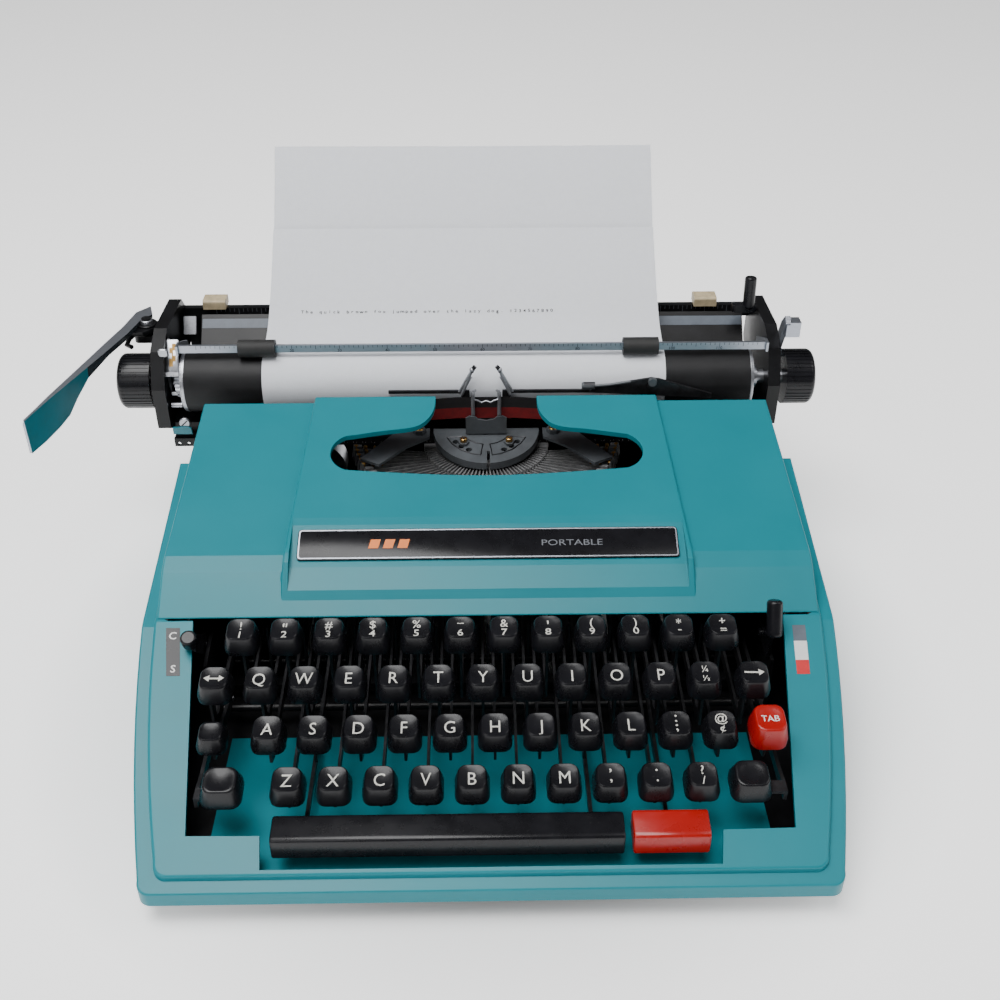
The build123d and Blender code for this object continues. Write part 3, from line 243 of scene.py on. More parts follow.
EXTRA = {
    "legend": surface("legend", (0.62, 0.61, 0.56), rough=0.55, vary=0.12, scale=500),
    "white_ink": surface("white_ink", (0.75, 0.75, 0.74), rough=0.5, vary=0.05, scale=400),
    "typed_ink": surface("typed_ink", (0.02, 0.02, 0.024), rough=0.9, vary=0.5, scale=3500),
    "dark_ink": surface("dark_ink", (0.02, 0.02, 0.022), rough=0.6, vary=0.4, scale=800),
    "orange_ink": surface("orange_ink", (0.85, 0.2, 0.015), rough=0.45, vary=0.06, scale=400),
    "grey_ink": surface("grey_ink", (0.13, 0.14, 0.16), rough=0.5, vary=0.1, scale=400),
    "red_ink": surface("red_ink", (0.6, 0.015, 0.02), rough=0.5, vary=0.08, scale=400),
    "slate": surface("slate", (0.1, 0.12, 0.15), rough=0.45, vary=0.12, scale=200, grain=0.1),
    "brass": surface("brass", (0.45, 0.27, 0.09), rough=0.35, metallic=1.0, vary=0.2, scale=250, grain=0.2),
    "ribbon_black": surface("ribbon_black", (0.008, 0.007, 0.008), rough=0.85, vary=0.4, scale=400, grain=0.5,
                            grain_scale=3000),
    "bar_steel": surface("bar_steel", (0.24, 0.24, 0.245), rough=0.35, metallic=0.4, vary=0.3, scale=300, grain=0.2),
    "lever_face": surface("lever_face", (0.05, 0.06, 0.07), rough=0.25, metallic=0.5, vary=0.2, scale=30),
    "paddle_teal": surface("paddle_teal", (0.012, 0.15, 0.19), rough=0.3, vary=0.35, scale=25),
    # painted shade: a flat black that stands for the shade inside the basket well
    "painted_well_shade": surface("painted_well_shade", (0.006, 0.006, 0.006), rough=0.7, vary=0.5, scale=60),
}
MATERIAL = {**FINISH, **EXTRA}

NODE_SLOT = {s["node"]: s["material_slot"] for s in frame["record"]["subparts"]}
OWN_FINISH = {"type_bars": "bar_steel", "type_bar_centre": "bar_steel", "segment": "bar_steel",
              "chassis_rods": "black_paint", "key_comb": "black_paint", "side_frames": "black_paint",
              "spool_cups": "black_paint", "carriage_frame": "black_paint", "card_holder": "dark_steel",
              "ribbon_spool_left": "black_plastic", "ribbon_spool_right": "black_plastic"}
for node, piece in frame["nodes"].items():
    piece.data.materials.clear()
    piece.data.materials.append(MATERIAL[OWN_FINISH.get(node, NODE_SLOT[node])])


def paint_inside(node, material, inside):
    """Gives the faces that inside(x, y, z, normal) picks out, in machine millimetres, another finish."""
    obj = frame["nodes"][node]
    obj.data.materials.append(MATERIAL[material])
    for face in obj.data.polygons:
        p = (obj.matrix_world @ face.center - HOME) / MM
        if inside(p.x, p.y, p.z, face.normal):
            face.material_index = 1


# Painted shade: the underside of the top cover and the inside of the lower case round the basket well get a flat black
# for the shade in the well. The rule for the lower case also darkens the outside of its rear wall, between the corners.
paint_inside("top_cover", "painted_well_shade", lambda x, y, z, n: n.z < -0.2 and y > 118)
paint_inside("lower_case", "painted_well_shade", lambda x, y, z, n: y > 111 and abs(x) < 149.5 and z > 14)
paint_inside("card_holder", "steel", lambda x, y, z, n: z > 104.2 and abs(x) < 13.0)


# -------------------------------------------------------------- mesh builders
class Shape:
    """Mesh under construction, in machine millimetres, with a material index per face."""

    def __init__(self):
        self.verts, self.faces, self.marks = [], [], []

    def add(self, verts, faces, mark=0, place=None):
        start = len(self.verts)
        self.verts += [place(*v) if place else tuple(v) for v in verts]
        self.faces += [tuple(start + i for i in face) for face in faces]
        self.marks += [mark] * len(faces)
        return self

    def skin(self, rings, mark=0, place=None, ends=(True, True)):
        """Skin through rings that have the same number of points."""
        count = len(rings[0])
        faces = []
        for r in range(len(rings) - 1):
            for i in range(count):
                j = (i + 1) % count
                faces.append((r * count + i, r * count + j, (r + 1) * count + j, (r + 1) * count + i))
        if ends[0]:
            faces.append(tuple(reversed(range(count))))
        if ends[1]:
            faces.append(tuple(range((len(rings) - 1) * count, len(rings) * count)))
        return self.add([p for ring in rings for p in ring], faces, mark, place)

    def plate(self, outline, axis, low, high, mark=0, bevel=0.0, place=None):
        """Flat plate: a closed 2D outline swept along an axis, its edges slightly rounded."""
        middle = [sum(p[k] for p in outline) / len(outline) for k in (0, 1)]
        size = max(math.dist(p, middle) for p in outline)
        rings = []
        steps = [(low, bevel), (low + bevel, 0), (high - bevel, 0), (high, bevel)] if bevel else [(low, 0), (high, 0)]
        for level, inset in steps:
            k = 1 - inset / size
            flat = [(middle[0] + (u - middle[0]) * k, middle[1] + (v - middle[1]) * k) for u, v in outline]
            if axis == "x":
                rings.append([(level, u, v) for u, v in flat])
            elif axis == "y":
                rings.append([(u, level, v) for u, v in flat])
            else:
                rings.append([(u, v, level) for u, v in flat])
        return self.skin(rings, mark, place)

    def lathe(self, profile, axis, centre, mark=0, count=40):
        """Round body: (position along the axis, radius) pairs about a line through centre."""
        rings = []
        for level, radius in profile:
            ring = []
            for i in range(count):
                a = 2 * math.pi * i / count
                c, s = radius * math.cos(a), radius * math.sin(a)
                if axis == "x":
                    ring.append((level, centre[0] + c, centre[1] + s))
                elif axis == "y":
                    ring.append((centre[0] + c, level, centre[1] - s))
                else:
                    ring.append((centre[0] + c, centre[1] + s, level))
            rings.append(ring)
        return self.skin(rings, mark)

    def tube(self, path, radius, mark=0, count=10):
        """Round wire through the given points."""
        rings = []
        points = [Vector(p) for p in path]
        for i, p in enumerate(points):
            along = (points[min(i + 1, len(points) - 1)] - points[max(i - 1, 0)]).normalized()
            side = along.cross(Vector((0.13, 0.31, 0.94))).normalized()
            up = side.cross(along)
            turns = [2 * math.pi * k / count for k in range(count)]
            rings.append([tuple(p + side * radius * math.cos(a) + up * radius * math.sin(a)) for a in turns])
        return self.skin(rings, mark)

    def piece(self, name, materials, body, slot=None, replaces=(), sharp=38.0):
        mesh = bpy.data.meshes.new(name)
        mesh.from_pydata([at(*v) for v in self.verts], [], self.faces)
        for material in materials:
            mesh.materials.append(MATERIAL[material])
        mesh.polygons.foreach_set("material_index", self.marks)
        bm = bmesh.new()
        bm.from_mesh(mesh)
        bmesh.ops.recalc_face_normals(bm, faces=list(bm.faces))
        bm.to_mesh(mesh)
        bm.free()
        mesh.polygons.foreach_set("use_smooth", [True] * len(mesh.polygons))
        mesh.set_sharp_from_angle(angle=math.radians(sharp))
        obj = bpy.data.objects.new(name, mesh)
        bpy.context.scene.collection.objects.link(obj)
        if body:
            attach(obj, body)
        slot or (materials[0] if materials[0] in FINISH else "black_plastic")
        if replaces:
            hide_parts(*replaces)
        return obj


def rounded(width, depth, radius, cx=0.0, cy=0.0, steps=5):
    """Corner-rounded rectangle as a list of 2D points."""
    points = []
    for k, (sx, sy) in enumerate(((1, 1), (-1, 1), (-1, -1), (1, -1))):
        ox, oy = cx + sx * (width / 2 - radius), cy + sy * (depth / 2 - radius)
        for i in range(steps + 1):
            a = math.pi / 2 * (k + i / steps)
            points.append((ox + radius * math.cos(a), oy + radius * math.sin(a)))
    return points


def tilted(x, y, z, angle):
    """Placement: local coordinates leaned back about X by angle, then moved to a machine point."""
    c, s = math.cos(math.radians(angle)), math.sin(math.radians(angle))
    return lambda u, v, w: (x + u, y + v * c - w * s, z + v * s + w * c)


GLYPHS = {}


def glyph(text, weight=0.0):
    """Outline text as a flat mesh at font size one, as Blender lays it out."""
    key = (text, weight)
    if key not in GLYPHS:
        curve = bpy.data.curves.new("glyph", "FONT")
        curve.body = text
        curve.resolution_u = 3
        curve.offset = weight
        obj = bpy.data.objects.new("glyph", curve)
        bpy.context.scene.collection.objects.link(obj)
        bpy.context.view_layer.update()
        mesh = bpy.data.meshes.new_from_object(obj.evaluated_get(bpy.context.evaluated_depsgraph_get()))
        verts = [(v.co.x, v.co.y) for v in mesh.vertices]
        faces = [tuple(p.vertices) for p in mesh.polygons]
        bpy.data.objects.remove(obj)
        bpy.data.curves.remove(curve)
        bpy.data.meshes.remove(mesh)
        GLYPHS[key] = (verts, faces)
    return GLYPHS[key]


CAPITAL = 0.729


def write(shape, text, size, onto, mark=0, stretch=1.0, weight=0.0, centred=False):
    """Writes text with capitals size mm tall; onto(u, v) gives the point on the surface."""
    verts, faces = glyph(text, weight)
    if not verts:
        return
    k = size / CAPITAL
    xs, ys = [v[0] for v in verts], [v[1] for v in verts]
    mid_x = (min(xs) + max(xs)) / 2
    mid_y = (min(ys) + max(ys)) / 2 if centred else CAPITAL / 2
    points = [onto((x - mid_x) * k * stretch, (y - mid_y) * k) for x, y in verts]
    shape.add(points, faces, mark)


# ------------------------------------------------------------------ key tops
KEY_PITCH, ROW_PITCH_Y, ROW_RISE = 19.05, 18.94, 10.58
ROW4_Y, ROW4_Z = 30.3, 48.5
ROW_FIRST_X = {1: -108.0, 2: -98.4, 3: -93.5, 4: -84.2}
KEY_HEIGHT, KEY_TILT, DISH_R, DISH_DEPTH = 9.6, 9.0, 22.0, 0.9
ROW_LEGENDS = {
    1: ["!1", "\"2", "#3", "$4", "%5", "_6", "&7", "'8", "(9", ")0", "*-", "+="],
    2: ["Q", "W", "E", "R", "T", "Y", "U", "I", "O", "P", "¼½"],
    3: ["A", "S", "D", "F", "G", "H", "J", "K", "L", ":;", "@¢"],
    4: ["Z", "X", "C", "V", "B", "N", "M", ",,", "..", "?/"],
}


def row_place(row):
    return ROW4_Y + (4 - row) * ROW_PITCH_Y, ROW4_Z + (4 - row) * ROW_RISE


def dish(u, v, height):
    return height + DISH_R - DISH_DEPTH - math.sqrt(DISH_R ** 2 - u * u - v * v)


def cap(shape, x, y, top_z, base=(14.6, 14.6), top=(11.8, 11.8), height=KEY_HEIGHT, mark=0):
    """Moulded key cap: soft shoulders, tapering sides and a dished top. Returns its top surface."""
    place = tilted(x, y, top_z - height + 0.9, KEY_TILT)
    rings = []
    for z, grow in ((0.0, -0.9), (0.35, 0.0), (height * 0.35, 0.0)):
        r = min(base) * 0.28
        rings.append([(u, v, z) for u, v in rounded(base[0] + grow, base[1] + grow, r)])
    for z, grow in ((height - 1.5, 0.55), (height - 0.75, 0.15), (height - 0.3, -0.35), (height - 0.08, -1.0)):
        w, d = top[0] + grow, top[1] + grow
        rings.append([(u, v, z) for u, v in rounded(w, d, min(w, d) * 0.3, 0, 0.4)])
    for k in (0.84, 0.66, 0.44, 0.2):
        flat = rounded(top[0] * k, top[1] * k, min(top) * k * 0.34, 0, 0.4)
        rings.append([(u, v, dish(u, v - 0.4, height)) for u, v in flat])
    shape.skin(rings, mark, place)
    return lambda u, v: place(u, v + 0.4, dish(u, v, height) + 0.06)


def key_row(row):
    y, z = row_place(row)
    caps, letters = Shape(), Shape()
    for i, text in enumerate(ROW_LEGENDS[row]):
        onto = cap(caps, ROW_FIRST_X[row] + i * KEY_PITCH, y, z)
        if len(text) == 1:
            write(letters, text, 6.4, lambda u, v: onto(u, v - 0.5), stretch=0.84)
            continue
        for sign, char in ((1, text[0]), (-1, text[1])):
            small = char in "-=*+;:\"'_,."
            size = 3.4 if char in "¼½" else 5.4 if char in ",.:;'\"" else 4.3
            write(letters, char, size, lambda u, v: onto(u, v * 0.95 + sign * 2.5 - 0.2), stretch=0.95,
                  weight=0.006, centred=small)
    caps.piece(f"caps_row_{row}", ["black_plastic"], f"key_row_{row}", replaces=[f"keycaps_row_{row}"])
    letters.piece(f"legends_row_{row}", ["legend"], f"key_row_{row}", "black_plastic")


FULCRUM_Y, FULCRUM_Z = 222.0, 44.0


def lever_outline(y, cap_bottom):
    shank = min(cap_bottom - 4.5, 43.0)
    return [(y - 2.6, cap_bottom), (y - 2.6, shank - 3.0), (y + 2.0, shank - 5.0),
            (FULCRUM_Y - 8, FULCRUM_Z - 5.5), (FULCRUM_Y + 5, FULCRUM_Z - 5.5),
            (FULCRUM_Y + 5, FULCRUM_Z + 4.5), (FULCRUM_Y - 8, FULCRUM_Z + 1.5),
            (y + 6.0, shank), (y + 2.6, shank + 1.5), (y + 2.6, cap_bottom)]


def arrow(shape, onto, both):
    """Engraved arrow, pointing both ways on the margin release key."""
    head = [(2.0, 1.7), (4.4, 0.0), (2.0, -1.7), (2.0, -0.42)]
    tail = [(-4.2, -0.42), (-4.2, 0.42)]
    if both:
        tail = [(-2.0, -0.42), (-2.0, -1.7), (-4.4, 0.0), (-2.0, 1.7), (-2.0, 0.42)]
    outline = head + tail + [(2.0, 0.42)]
    shape.add([onto(u, v) for u, v in outline], [tuple(range(len(outline)))])


def single_key(name, node, body, x, y, top_z, lever_x, colour, text=None, height=KEY_HEIGHT, base=(14.6, 14.6),
               top=(11.8, 11.8)):
    caps, letters = Shape(), Shape()
    onto = cap(caps, x, y, top_z, base, top, height)
    bottom = top_z - height + 1.8
    caps.piece(f"cap_{name}", [colour], body, replaces=[node])
    steel = Shape()
    steel.plate(lever_outline(y, bottom + 1.0), "x", lever_x - 0.6, lever_x + 0.6)
    x0, x1 = min(x, lever_x) - 0.6, max(x, lever_x) + 0.6
    steel.plate([(y - 2.4, bottom - 1.6), (y + 2.4, bottom - 1.6), (y + 2.4, bottom + 1.2), (y - 2.4, bottom + 1.2)],
                "x", x0, x1)
    steel.piece(f"lever_{name}", ["dark_steel"], body, replaces=[node])
    if text == "TAB":
        write(letters, text, 3.1, onto, weight=0.006)
        letters.piece("legend_tab", ["white_ink"], body, "red_plastic")
    elif text:
        arrow(letters, onto, text == "both")
        letters.piece(f"legend_{name}", ["legend"], body, "black_plastic")


for number in ROW_LEGENDS:
    key_row(number)
row2_y, row2_z = row_place(2)
row3_y, row3_z = row_place(3)
row4_y, row4_z = row_place(4)
single_key("margin_release", "margin_release_key", "margin_release", -117.6, row2_y, row2_z, -120.6, "black_plastic",
           "both")
single_key("arrow", "arrow_key", "arrow", 113.0, row2_y, row2_z, 110.0, "black_plastic", "right")
single_key("tab", "tab_key", "tabulator", 117.2, row3_y, row3_z + 2.4, 116.7, "red_plastic", "TAB", 11.5,
           (15.4, 16.6), (12.6, 13.6))


def shift_caps():
    caps = Shape()
    for x in (-111.5, 107.6):
        cap(caps, x, row4_y, row4_z, (17.2, 16.2), (13.8, 12.6))
    caps.piece("caps_shift", ["black_plastic"], "shift", replaces=["shift_keys"])


def shift_lock():
    x, y, top_z, height = -117.4, row3_y, row3_z - 2.0, 8.4
    bottom = top_z - height + 1.8
    caps = Shape()
    cap(caps, x, y, top_z, (12.6, 13.2), (9.8, 9.6), height)
    caps.piece("cap_shift_lock", ["black_plastic"], "shift_lock", replaces=["shift_lock_key"])
    stem = Shape()
    stem.plate([(y - 2, bottom + 1), (y - 2, bottom - 9), (y + 34, bottom - 14), (y + 40, bottom - 10),
                (y + 6, bottom - 4), (y + 2, bottom + 1)], "x", x - 0.7, x + 0.7)
    stem.lathe([(x - 1.4, 1.6), (x + 1.4, 1.6)], "x", (y + 38, bottom - 12), count=20)
    stem.piece("stem_shift_lock", ["dark_steel"], "shift_lock", replaces=["shift_lock_key"])


shift_caps()
shift_lock()

# ------------------------------------------------------------ bar keys
BAR_PROFILE = [(7.8, 26.0), (7.7, 30.5), (7.9, 34.6), (8.2, 35.5), (9.0, 36.05), (10.2, 36.25), (15.0, 36.3),
               (19.0, 36.9), (20.1, 36.7), (20.8, 35.9), (21.0, 34.6), (21.0, 27.0)]


def bar_key(name, node, body, x0, x1, rise, colour, arms):
    shape = Shape()
    cy, cz = 14.4, 31.0
    rings = []
    for x, k in ((x0, 0.86), (x0 + 0.25, 0.95), (x0 + 0.9, 1.0), (x1 - 0.9, 1.0), (x1 - 0.25, 0.95), (x1, 0.86)):
        ring = []
        for y, z in BAR_PROFILE:
            lift = rise * max(0.0, (y - 9.0) / 12.0) if z > 33 else 0.0
            ring.append((x, cy + (y - cy) * k, cz + (z + lift - cz) * k))
        rings.append(ring)
    shape.skin(rings)
    shape.piece(f"bar_{name}", [colour], body, replaces=[node])
    steel = Shape()
    for x in arms:
        steel.plate([(11.6, 29), (11.6, 24.6), (60, 20.5), (102, 19.0), (102, 25.5), (60, 24.5), (23, 25.5),
                     (19, 29)], "x", x - 0.8, x + 0.8)
    steel.piece(f"arm_{name}", ["dark_steel"], body, replaces=[node])


def repeat_legend():
    words = Shape()
    write(words, "REPEAT SPACER", 2.5, lambda u, v: (73.2 + u, 14.6 + v, 36.72 + 0.1 * v), stretch=1.12, weight=0.012)
    words.piece("legend_repeat", ["white_ink"], "repeat", "red_plastic")


bar_key("space", "spacebar", "space_bar", -90.0, 54.0, 0.4, "black_plastic", (-78.0, 42.0))
bar_key("repeat", "repeat_key", "repeat", 57.5, 89.0, 1.0, "red_plastic", (74.0,))
repeat_legend()

# ------------------------------------------------------------- badge and marks
NAME_TOP, NAME_BOTTOM, NAME_HALF = (146.7, 89.3), (131.5, 83.1), 89.0
badge_length = math.dist(NAME_TOP, NAME_BOTTOM)
badge_angle = math.degrees(math.atan2(NAME_TOP[1] - NAME_BOTTOM[1], NAME_TOP[0] - NAME_BOTTOM[0]))
on_badge = tilted(0, (NAME_TOP[0] + NAME_BOTTOM[0]) / 2, (NAME_TOP[1] + NAME_BOTTOM[1]) / 2, badge_angle)


def badge():
    plate = Shape()
    rings = []
    for z, grow in ((-1.2, -0.2), (-0.9, 0.0), (-0.15, 0.0), (0.0, -0.4)):
        rings.append([(u, v, z) for u, v in rounded(2 * NAME_HALF + grow, badge_length + grow, 1.6)])
    plate.skin(rings, place=on_badge)
    plate.piece("badge_plate", ["black_plastic"], "cover", replaces=["name_plate"])
    rim = Shape()
    outer = rounded(2 * NAME_HALF - 0.8, badge_length - 0.8, 1.4)
    inner = rounded(2 * NAME_HALF - 2.0, badge_length - 2.0, 1.0)
    count = len(outer)
    verts = [(u, v, 0.1) for u, v in outer] + [(u, v, 0.1) for u, v in inner]
    faces = [(i, (i + 1) % count, count + (i + 1) % count, count + i) for i in range(count)]
    rim.add(verts, faces, place=on_badge)
    rim.piece("badge_border", ["aluminium"], "cover", "aluminium")
    ink = Shape()
    for k in range(3):
        x, wide, lean = -56.0 + k * 6.8, 4.6, 1.2
        outline = [(x, -2.4), (x + wide, -2.4), (x + wide + lean, 2.4), (x + lean, 2.4)]
        ink.add([on_badge(u, v, 0.12) for u, v in outline], [(0, 1, 2, 3)])
    ink.piece("badge_emblem", ["orange_ink"], "cover", "aluminium")
    words = Shape()
    write(words, "PORTABLE", 3.3, lambda u, v: on_badge(39.2 + u, v, 0.12), stretch=1.35)
    words.piece("badge_words", ["grey_ink"], "cover", "aluminium")


DECK_FRONT_Y, DECK_FRONT_Z, DECK_BACK_Y, DECK_BACK_Z = 0.9, 24.0, 108.0, 66.6
DECK_SLOPE = (DECK_BACK_Z - DECK_FRONT_Z) / (DECK_BACK_Y - DECK_FRONT_Y)


def on_deck(x, y, lift=0.12):
    return (x, y, DECK_FRONT_Z + DECK_SLOPE * (y - DECK_FRONT_Y) + lift)


def deck_patch(shape, corners, low, high, mark=0, lift=0.12):
    """Part of a slanted strip between two depths; corners are its near and far ends, left and right."""
    (x0, y0, x1, y1), far = corners[0], corners[1]
    points = []
    for side, depth in ((0, low), (1, low), (1, high), (0, high)):
        near_x, near_y = (x0, y0) if side == 0 else (x1, y1)
        far_x, far_y = far[2 * side], far[2 * side + 1]
        t = (depth - near_y) / (far_y - near_y)
        points.append(on_deck(near_x + t * (far_x - near_x), depth, lift))
    shape.add(points, [(0, 1, 2, 3)], mark)


def deck_marks():
    label = Shape()
    left = ((-143.0, 83.0, -136.9, 82.9), (-146.2, 105.1, -139.9, 105.0))
    deck_patch(label, left, 82.9, 105.0)
    label.piece("shift_label", ["black_plastic"], "frame")
    letters = Shape()
    write(letters, "C", 3.4, lambda u, v: on_deck(-142.6 + u, 101.4 + v, 0.2), stretch=1.1, weight=0.015)
    write(letters, "S", 3.4, lambda u, v: on_deck(-140.4 + u, 86.2 + v, 0.2), stretch=1.1, weight=0.015)
    letters.piece("shift_label_letters", ["white_ink"], "frame", "black_plastic")
    colours = Shape()
    right = ((136.4, 80.6, 142.2, 80.6), (137.8, 103.3, 143.7, 103.2))
    deck_patch(colours, right, 95.8, 103.2, 0)
    deck_patch(colours, right, 87.0, 95.8, 1)
    deck_patch(colours, right, 80.6, 87.0, 2)
    colours.piece("ribbon_colour_label", ["slate", "white_ink", "red_ink"], "frame", "black_plastic")


badge()
deck_marks()

# ------------------------------------------------------------- scales
def scale(name, body, x0, x1, front, low, high, numeral, ink, every=10, pitch=2.54, below=False):
    """Ticks and numerals of a typing scale on an upright face at depth front."""
    marks = Shape()
    count = int((x1 - x0) / pitch)
    for i in range(count + 1):
        x = x0 + i * pitch
        tall = (high - low) * (0.55 if i % 5 == 0 else 0.34)
        marks.add([(x - 0.13, front, high - tall), (x + 0.13, front, high - tall), (x + 0.13, front, high),
                   (x - 0.13, front, high)], [(0, 1, 2, 3)])
        if i % every == 0 and i:
            middle = low + numeral * 0.62
            write(marks, str(i), numeral, lambda u, v: (x + u, front, middle + v), weight=0.01)
    marks.piece(name, [ink], body, "aluminium")


scale("bail_scale", "bail", -154.0, 148.0, 264.14, 120.3, 124.3, 1.7, "dark_ink")
scale("rail_scale", "carriage", -153.0, 146.0, 319.3, 113.0, 119.4, 2.2, "grey_ink")


def table_band():
    """Blue-grey strip let into the paper table below its scale."""
    strip = Shape()
    points = [(307.2, 113.15), (310.9, 117.0)]
    back = [(y + 0.9, z - 0.9) for y, z in points]
    strip.plate([points[0], points[1], back[1], back[0]], "x", -159.6, 146.0)
    strip.piece("paper_table_band", ["slate"], "carriage", "aluminium")


table_band()

# -------------------------------------------------------------------- paper
PLATEN_Y, PLATEN_Z, PLATEN_R = 270.0, 100.5, 17.0
PAPER_X0, PAPER_WIDTH, PAPER_LENGTH = -119.45, 215.9, 279.4


def spline(points, steps):
    """Smooth curve through points, Catmull-Rom."""
    out = []
    padded = [points[0]] + list(points) + [points[-1]]
    for i in range(1, len(padded) - 2):
        p0, p1, p2, p3 = (Vector(p) for p in padded[i - 1:i + 3])
        for k in range(steps):
            t = k / steps
            out.append(0.5 * (2 * p1 + (p2 - p0) * t + (2 * p0 - 5 * p1 + 4 * p2 - p3) * t ** 2
                              + (3 * p1 - p0 - 3 * p2 + p3) * t ** 3))
    return out + [Vector(points[-1])]


def paper_line():
    """Side view of the sheet from its front top edge, round under the platen, to its back top edge."""
    radius = PLATEN_R + 0.35
    turns = [101 + i * (324 - 101) / 36 for i in range(37)]
    wrap = [(PLATEN_Y + radius * math.cos(math.radians(a)), PLATEN_Z + radius * math.sin(math.radians(a)))
            for a in turns]
    front = spline([(341.0, 158.0), (328.0, 147.6), (315.0, 137.6), (302.0, 128.6), (290.0, 122.2), (278.0, 119.2),
                    wrap[0]], 6)
    back = spline([wrap[-1], (293.0, 99.0), (306.0, 114.2), (330.0, 142.2), (352.0, 167.5), (375.0, 194.0)], 6)
    return front[:-1] + [Vector(p) for p in wrap] + back[1:]


def paper():
    line = paper_line()
    columns = 18
    shape = Shape()
    verts = []
    for i, p in enumerate(line):
        t = i / (len(line) - 1)
        for j in range(columns + 1):
            u = j / columns
            sway = 0.5 * math.sin(math.pi * u) * max(0.0, 1 - 8 * t) + 1.2 * math.sin(math.pi * u) * max(0.0, 6 * t - 5)
            verts.append((PAPER_X0 + u * PAPER_WIDTH, p[0] + sway, p[1] - sway * 0.6))
    faces = []
    for i in range(len(line) - 1):
        for j in range(columns):
            a = i * (columns + 1) + j
            faces.append((a, a + 1, a + columns + 2, a + columns + 1))
    shape.add(verts, faces)
    obj = shape.piece("letter_sheet", ["paper"], "carriage", "paper", ["paper_sheet"], sharp=80)
    ink = Shape()
    start, pitch = (-101.0, 299.0), 2.51
    text = "The quick brown fox jumped over the lazy dog. 1234567890"
    spots = line[:37]
    for i, char in enumerate(text):
        if char == " ":
            continue
        x = start[0] + i * pitch
        drop = 0.12 * math.sin(i * 2.3)

        def onto(u, v):
            depth = start[1] + (v + drop) * 0.8
            k = min(range(len(spots) - 1), key=lambda n: abs(spots[n][0] - depth))
            slope = (spots[k + 1][1] - spots[k][1]) / (spots[k + 1][0] - spots[k][0])
            return (x + u, depth - 0.08, spots[k][1] + (depth - spots[k][0]) * slope + 0.12)
        write(ink, char, 2.2, onto, weight=0.008)
    ink.piece("typed_line", ["typed_ink"], "carriage", "paper")


paper()

# ------------------------------------------------------------------- ribbon
RIBBON_EDGES = (88.7, 95.2, 101.7)
RIBBON_HALF, RIBBON_LEVEL_HALF, RIBBON_DROP = 70.0, 20.0, 4.0


def ribbon():
    """Two-colour ribbon: across the printing point, then down and forward to each spool."""
    mid = [(-15.0, 247.4), (-5.0, 247.4), (5.0, 247.4), (15.0, 247.4)]
    right = [(30.0, 246.9), (48.0, 245.5), (69.0, 243.0)]
    path = [(-x, y) for x, y in reversed(right)] + mid + right
    shape = Shape()
    for x, y in path:
        drop = max(0.0, abs(x) - RIBBON_LEVEL_HALF) / (RIBBON_HALF - RIBBON_LEVEL_HALF) * RIBBON_DROP
        shape.verts += [(x, y, z - drop) for z in RIBBON_EDGES]
    for i in range(len(path) - 1):
        for k in (0, 1):
            a = i * 3 + k
            shape.faces.append((a, a + 3, a + 4, a + 1))
            shape.marks.append(k)
    shape.piece("ribbon_band", ["ribbon_cloth", "ribbon_black"], "vibrator", "ribbon_cloth", ["ribbon"])


ribbon()

# ------------------------------------------------------------ type basket
SEG_Y, SEG_Z, SEG_TILT = 250.0, 80.5, 8.0
BAR_COUNT = 44
on_segment = tilted(0, SEG_Y, SEG_Z, SEG_TILT)


def kidney(shape, sign, mark=0):
    """Engraved kidney outline on the segment plate."""
    path = []
    for a in (200, 215, 232, 250, 262):
        t = math.radians(a if sign < 0 else 540 - a)
        path.append((22.5 * math.cos(t), 22.5 * math.sin(t)))
    for a in (262, 245, 228, 210):
        t = math.radians(a if sign < 0 else 540 - a)
        path.append((13.5 * math.cos(t), 13.5 * math.sin(t)))
    path.append(path[0])
    shape.tube([on_segment(u, v, 0.1) for u, v in path], 0.35, mark, 6)


def screw_head(shape, x, y, z, radius, tall, slot_angle=30.0, mark=0, slot_mark=1):
    shape.lathe([(z, radius), (z + tall - 0.3, radius), (z + tall, radius - 0.35)], "z", (x, y), mark, 24)
    c, s = math.cos(math.radians(slot_angle)), math.sin(math.radians(slot_angle))
    bar = [(-radius * 0.8, -0.3), (radius * 0.8, -0.3), (radius * 0.8, 0.3), (-radius * 0.8, 0.3)]
    shape.add([(x + u * c - v * s, y + u * s + v * c, z + tall + 0.04) for u, v in bar], [(0, 1, 2, 3)], slot_mark)


def basket():
    marks = Shape()
    for sign in (-1, 1):
        kidney(marks, sign)
    marks.piece("segment_outlines", ["dark_steel"], "type_basket", "dark_steel")
    screws = Shape()
    for sign in (-1, 1):
        screw_head(screws, sign * 12.2, SEG_Y - 12.5, SEG_Z, 1.9, 1.9, 40 * sign)
        screw_head(screws, sign * 36.0, 244.4, 83.6, 2.3, 0.9, 25 * sign)
    screws.piece("basket_screws", ["brass", "dark_ink"], "type_basket", "steel")
    slugs = Shape()
    first, last = 190.0, 350.0
    for i in (*range(5), *range(BAR_COUNT - 5, BAR_COUNT)):
        a = math.radians(first + i * (last - first) / (BAR_COUNT - 1))
        for reach, size in ((61.0, 1.5), (66.0, 1.9), (71.0, 2.3)):
            x, y = reach * math.cos(a), SEG_Y + reach * math.sin(a)
            z = 67.0 + (reach - 30.0) * 8.0 / 43.5 + 2.6
            slugs.lathe([(z - 1.4, size * 0.4), (z - 1.0, size * 0.55), (z + 0.8, size * 0.55), (z + 1.2, size * 0.35)],
                        "z", (x, y), 0, 8)
    slugs.piece("type_slugs", ["brass"], "type_basket", "steel")


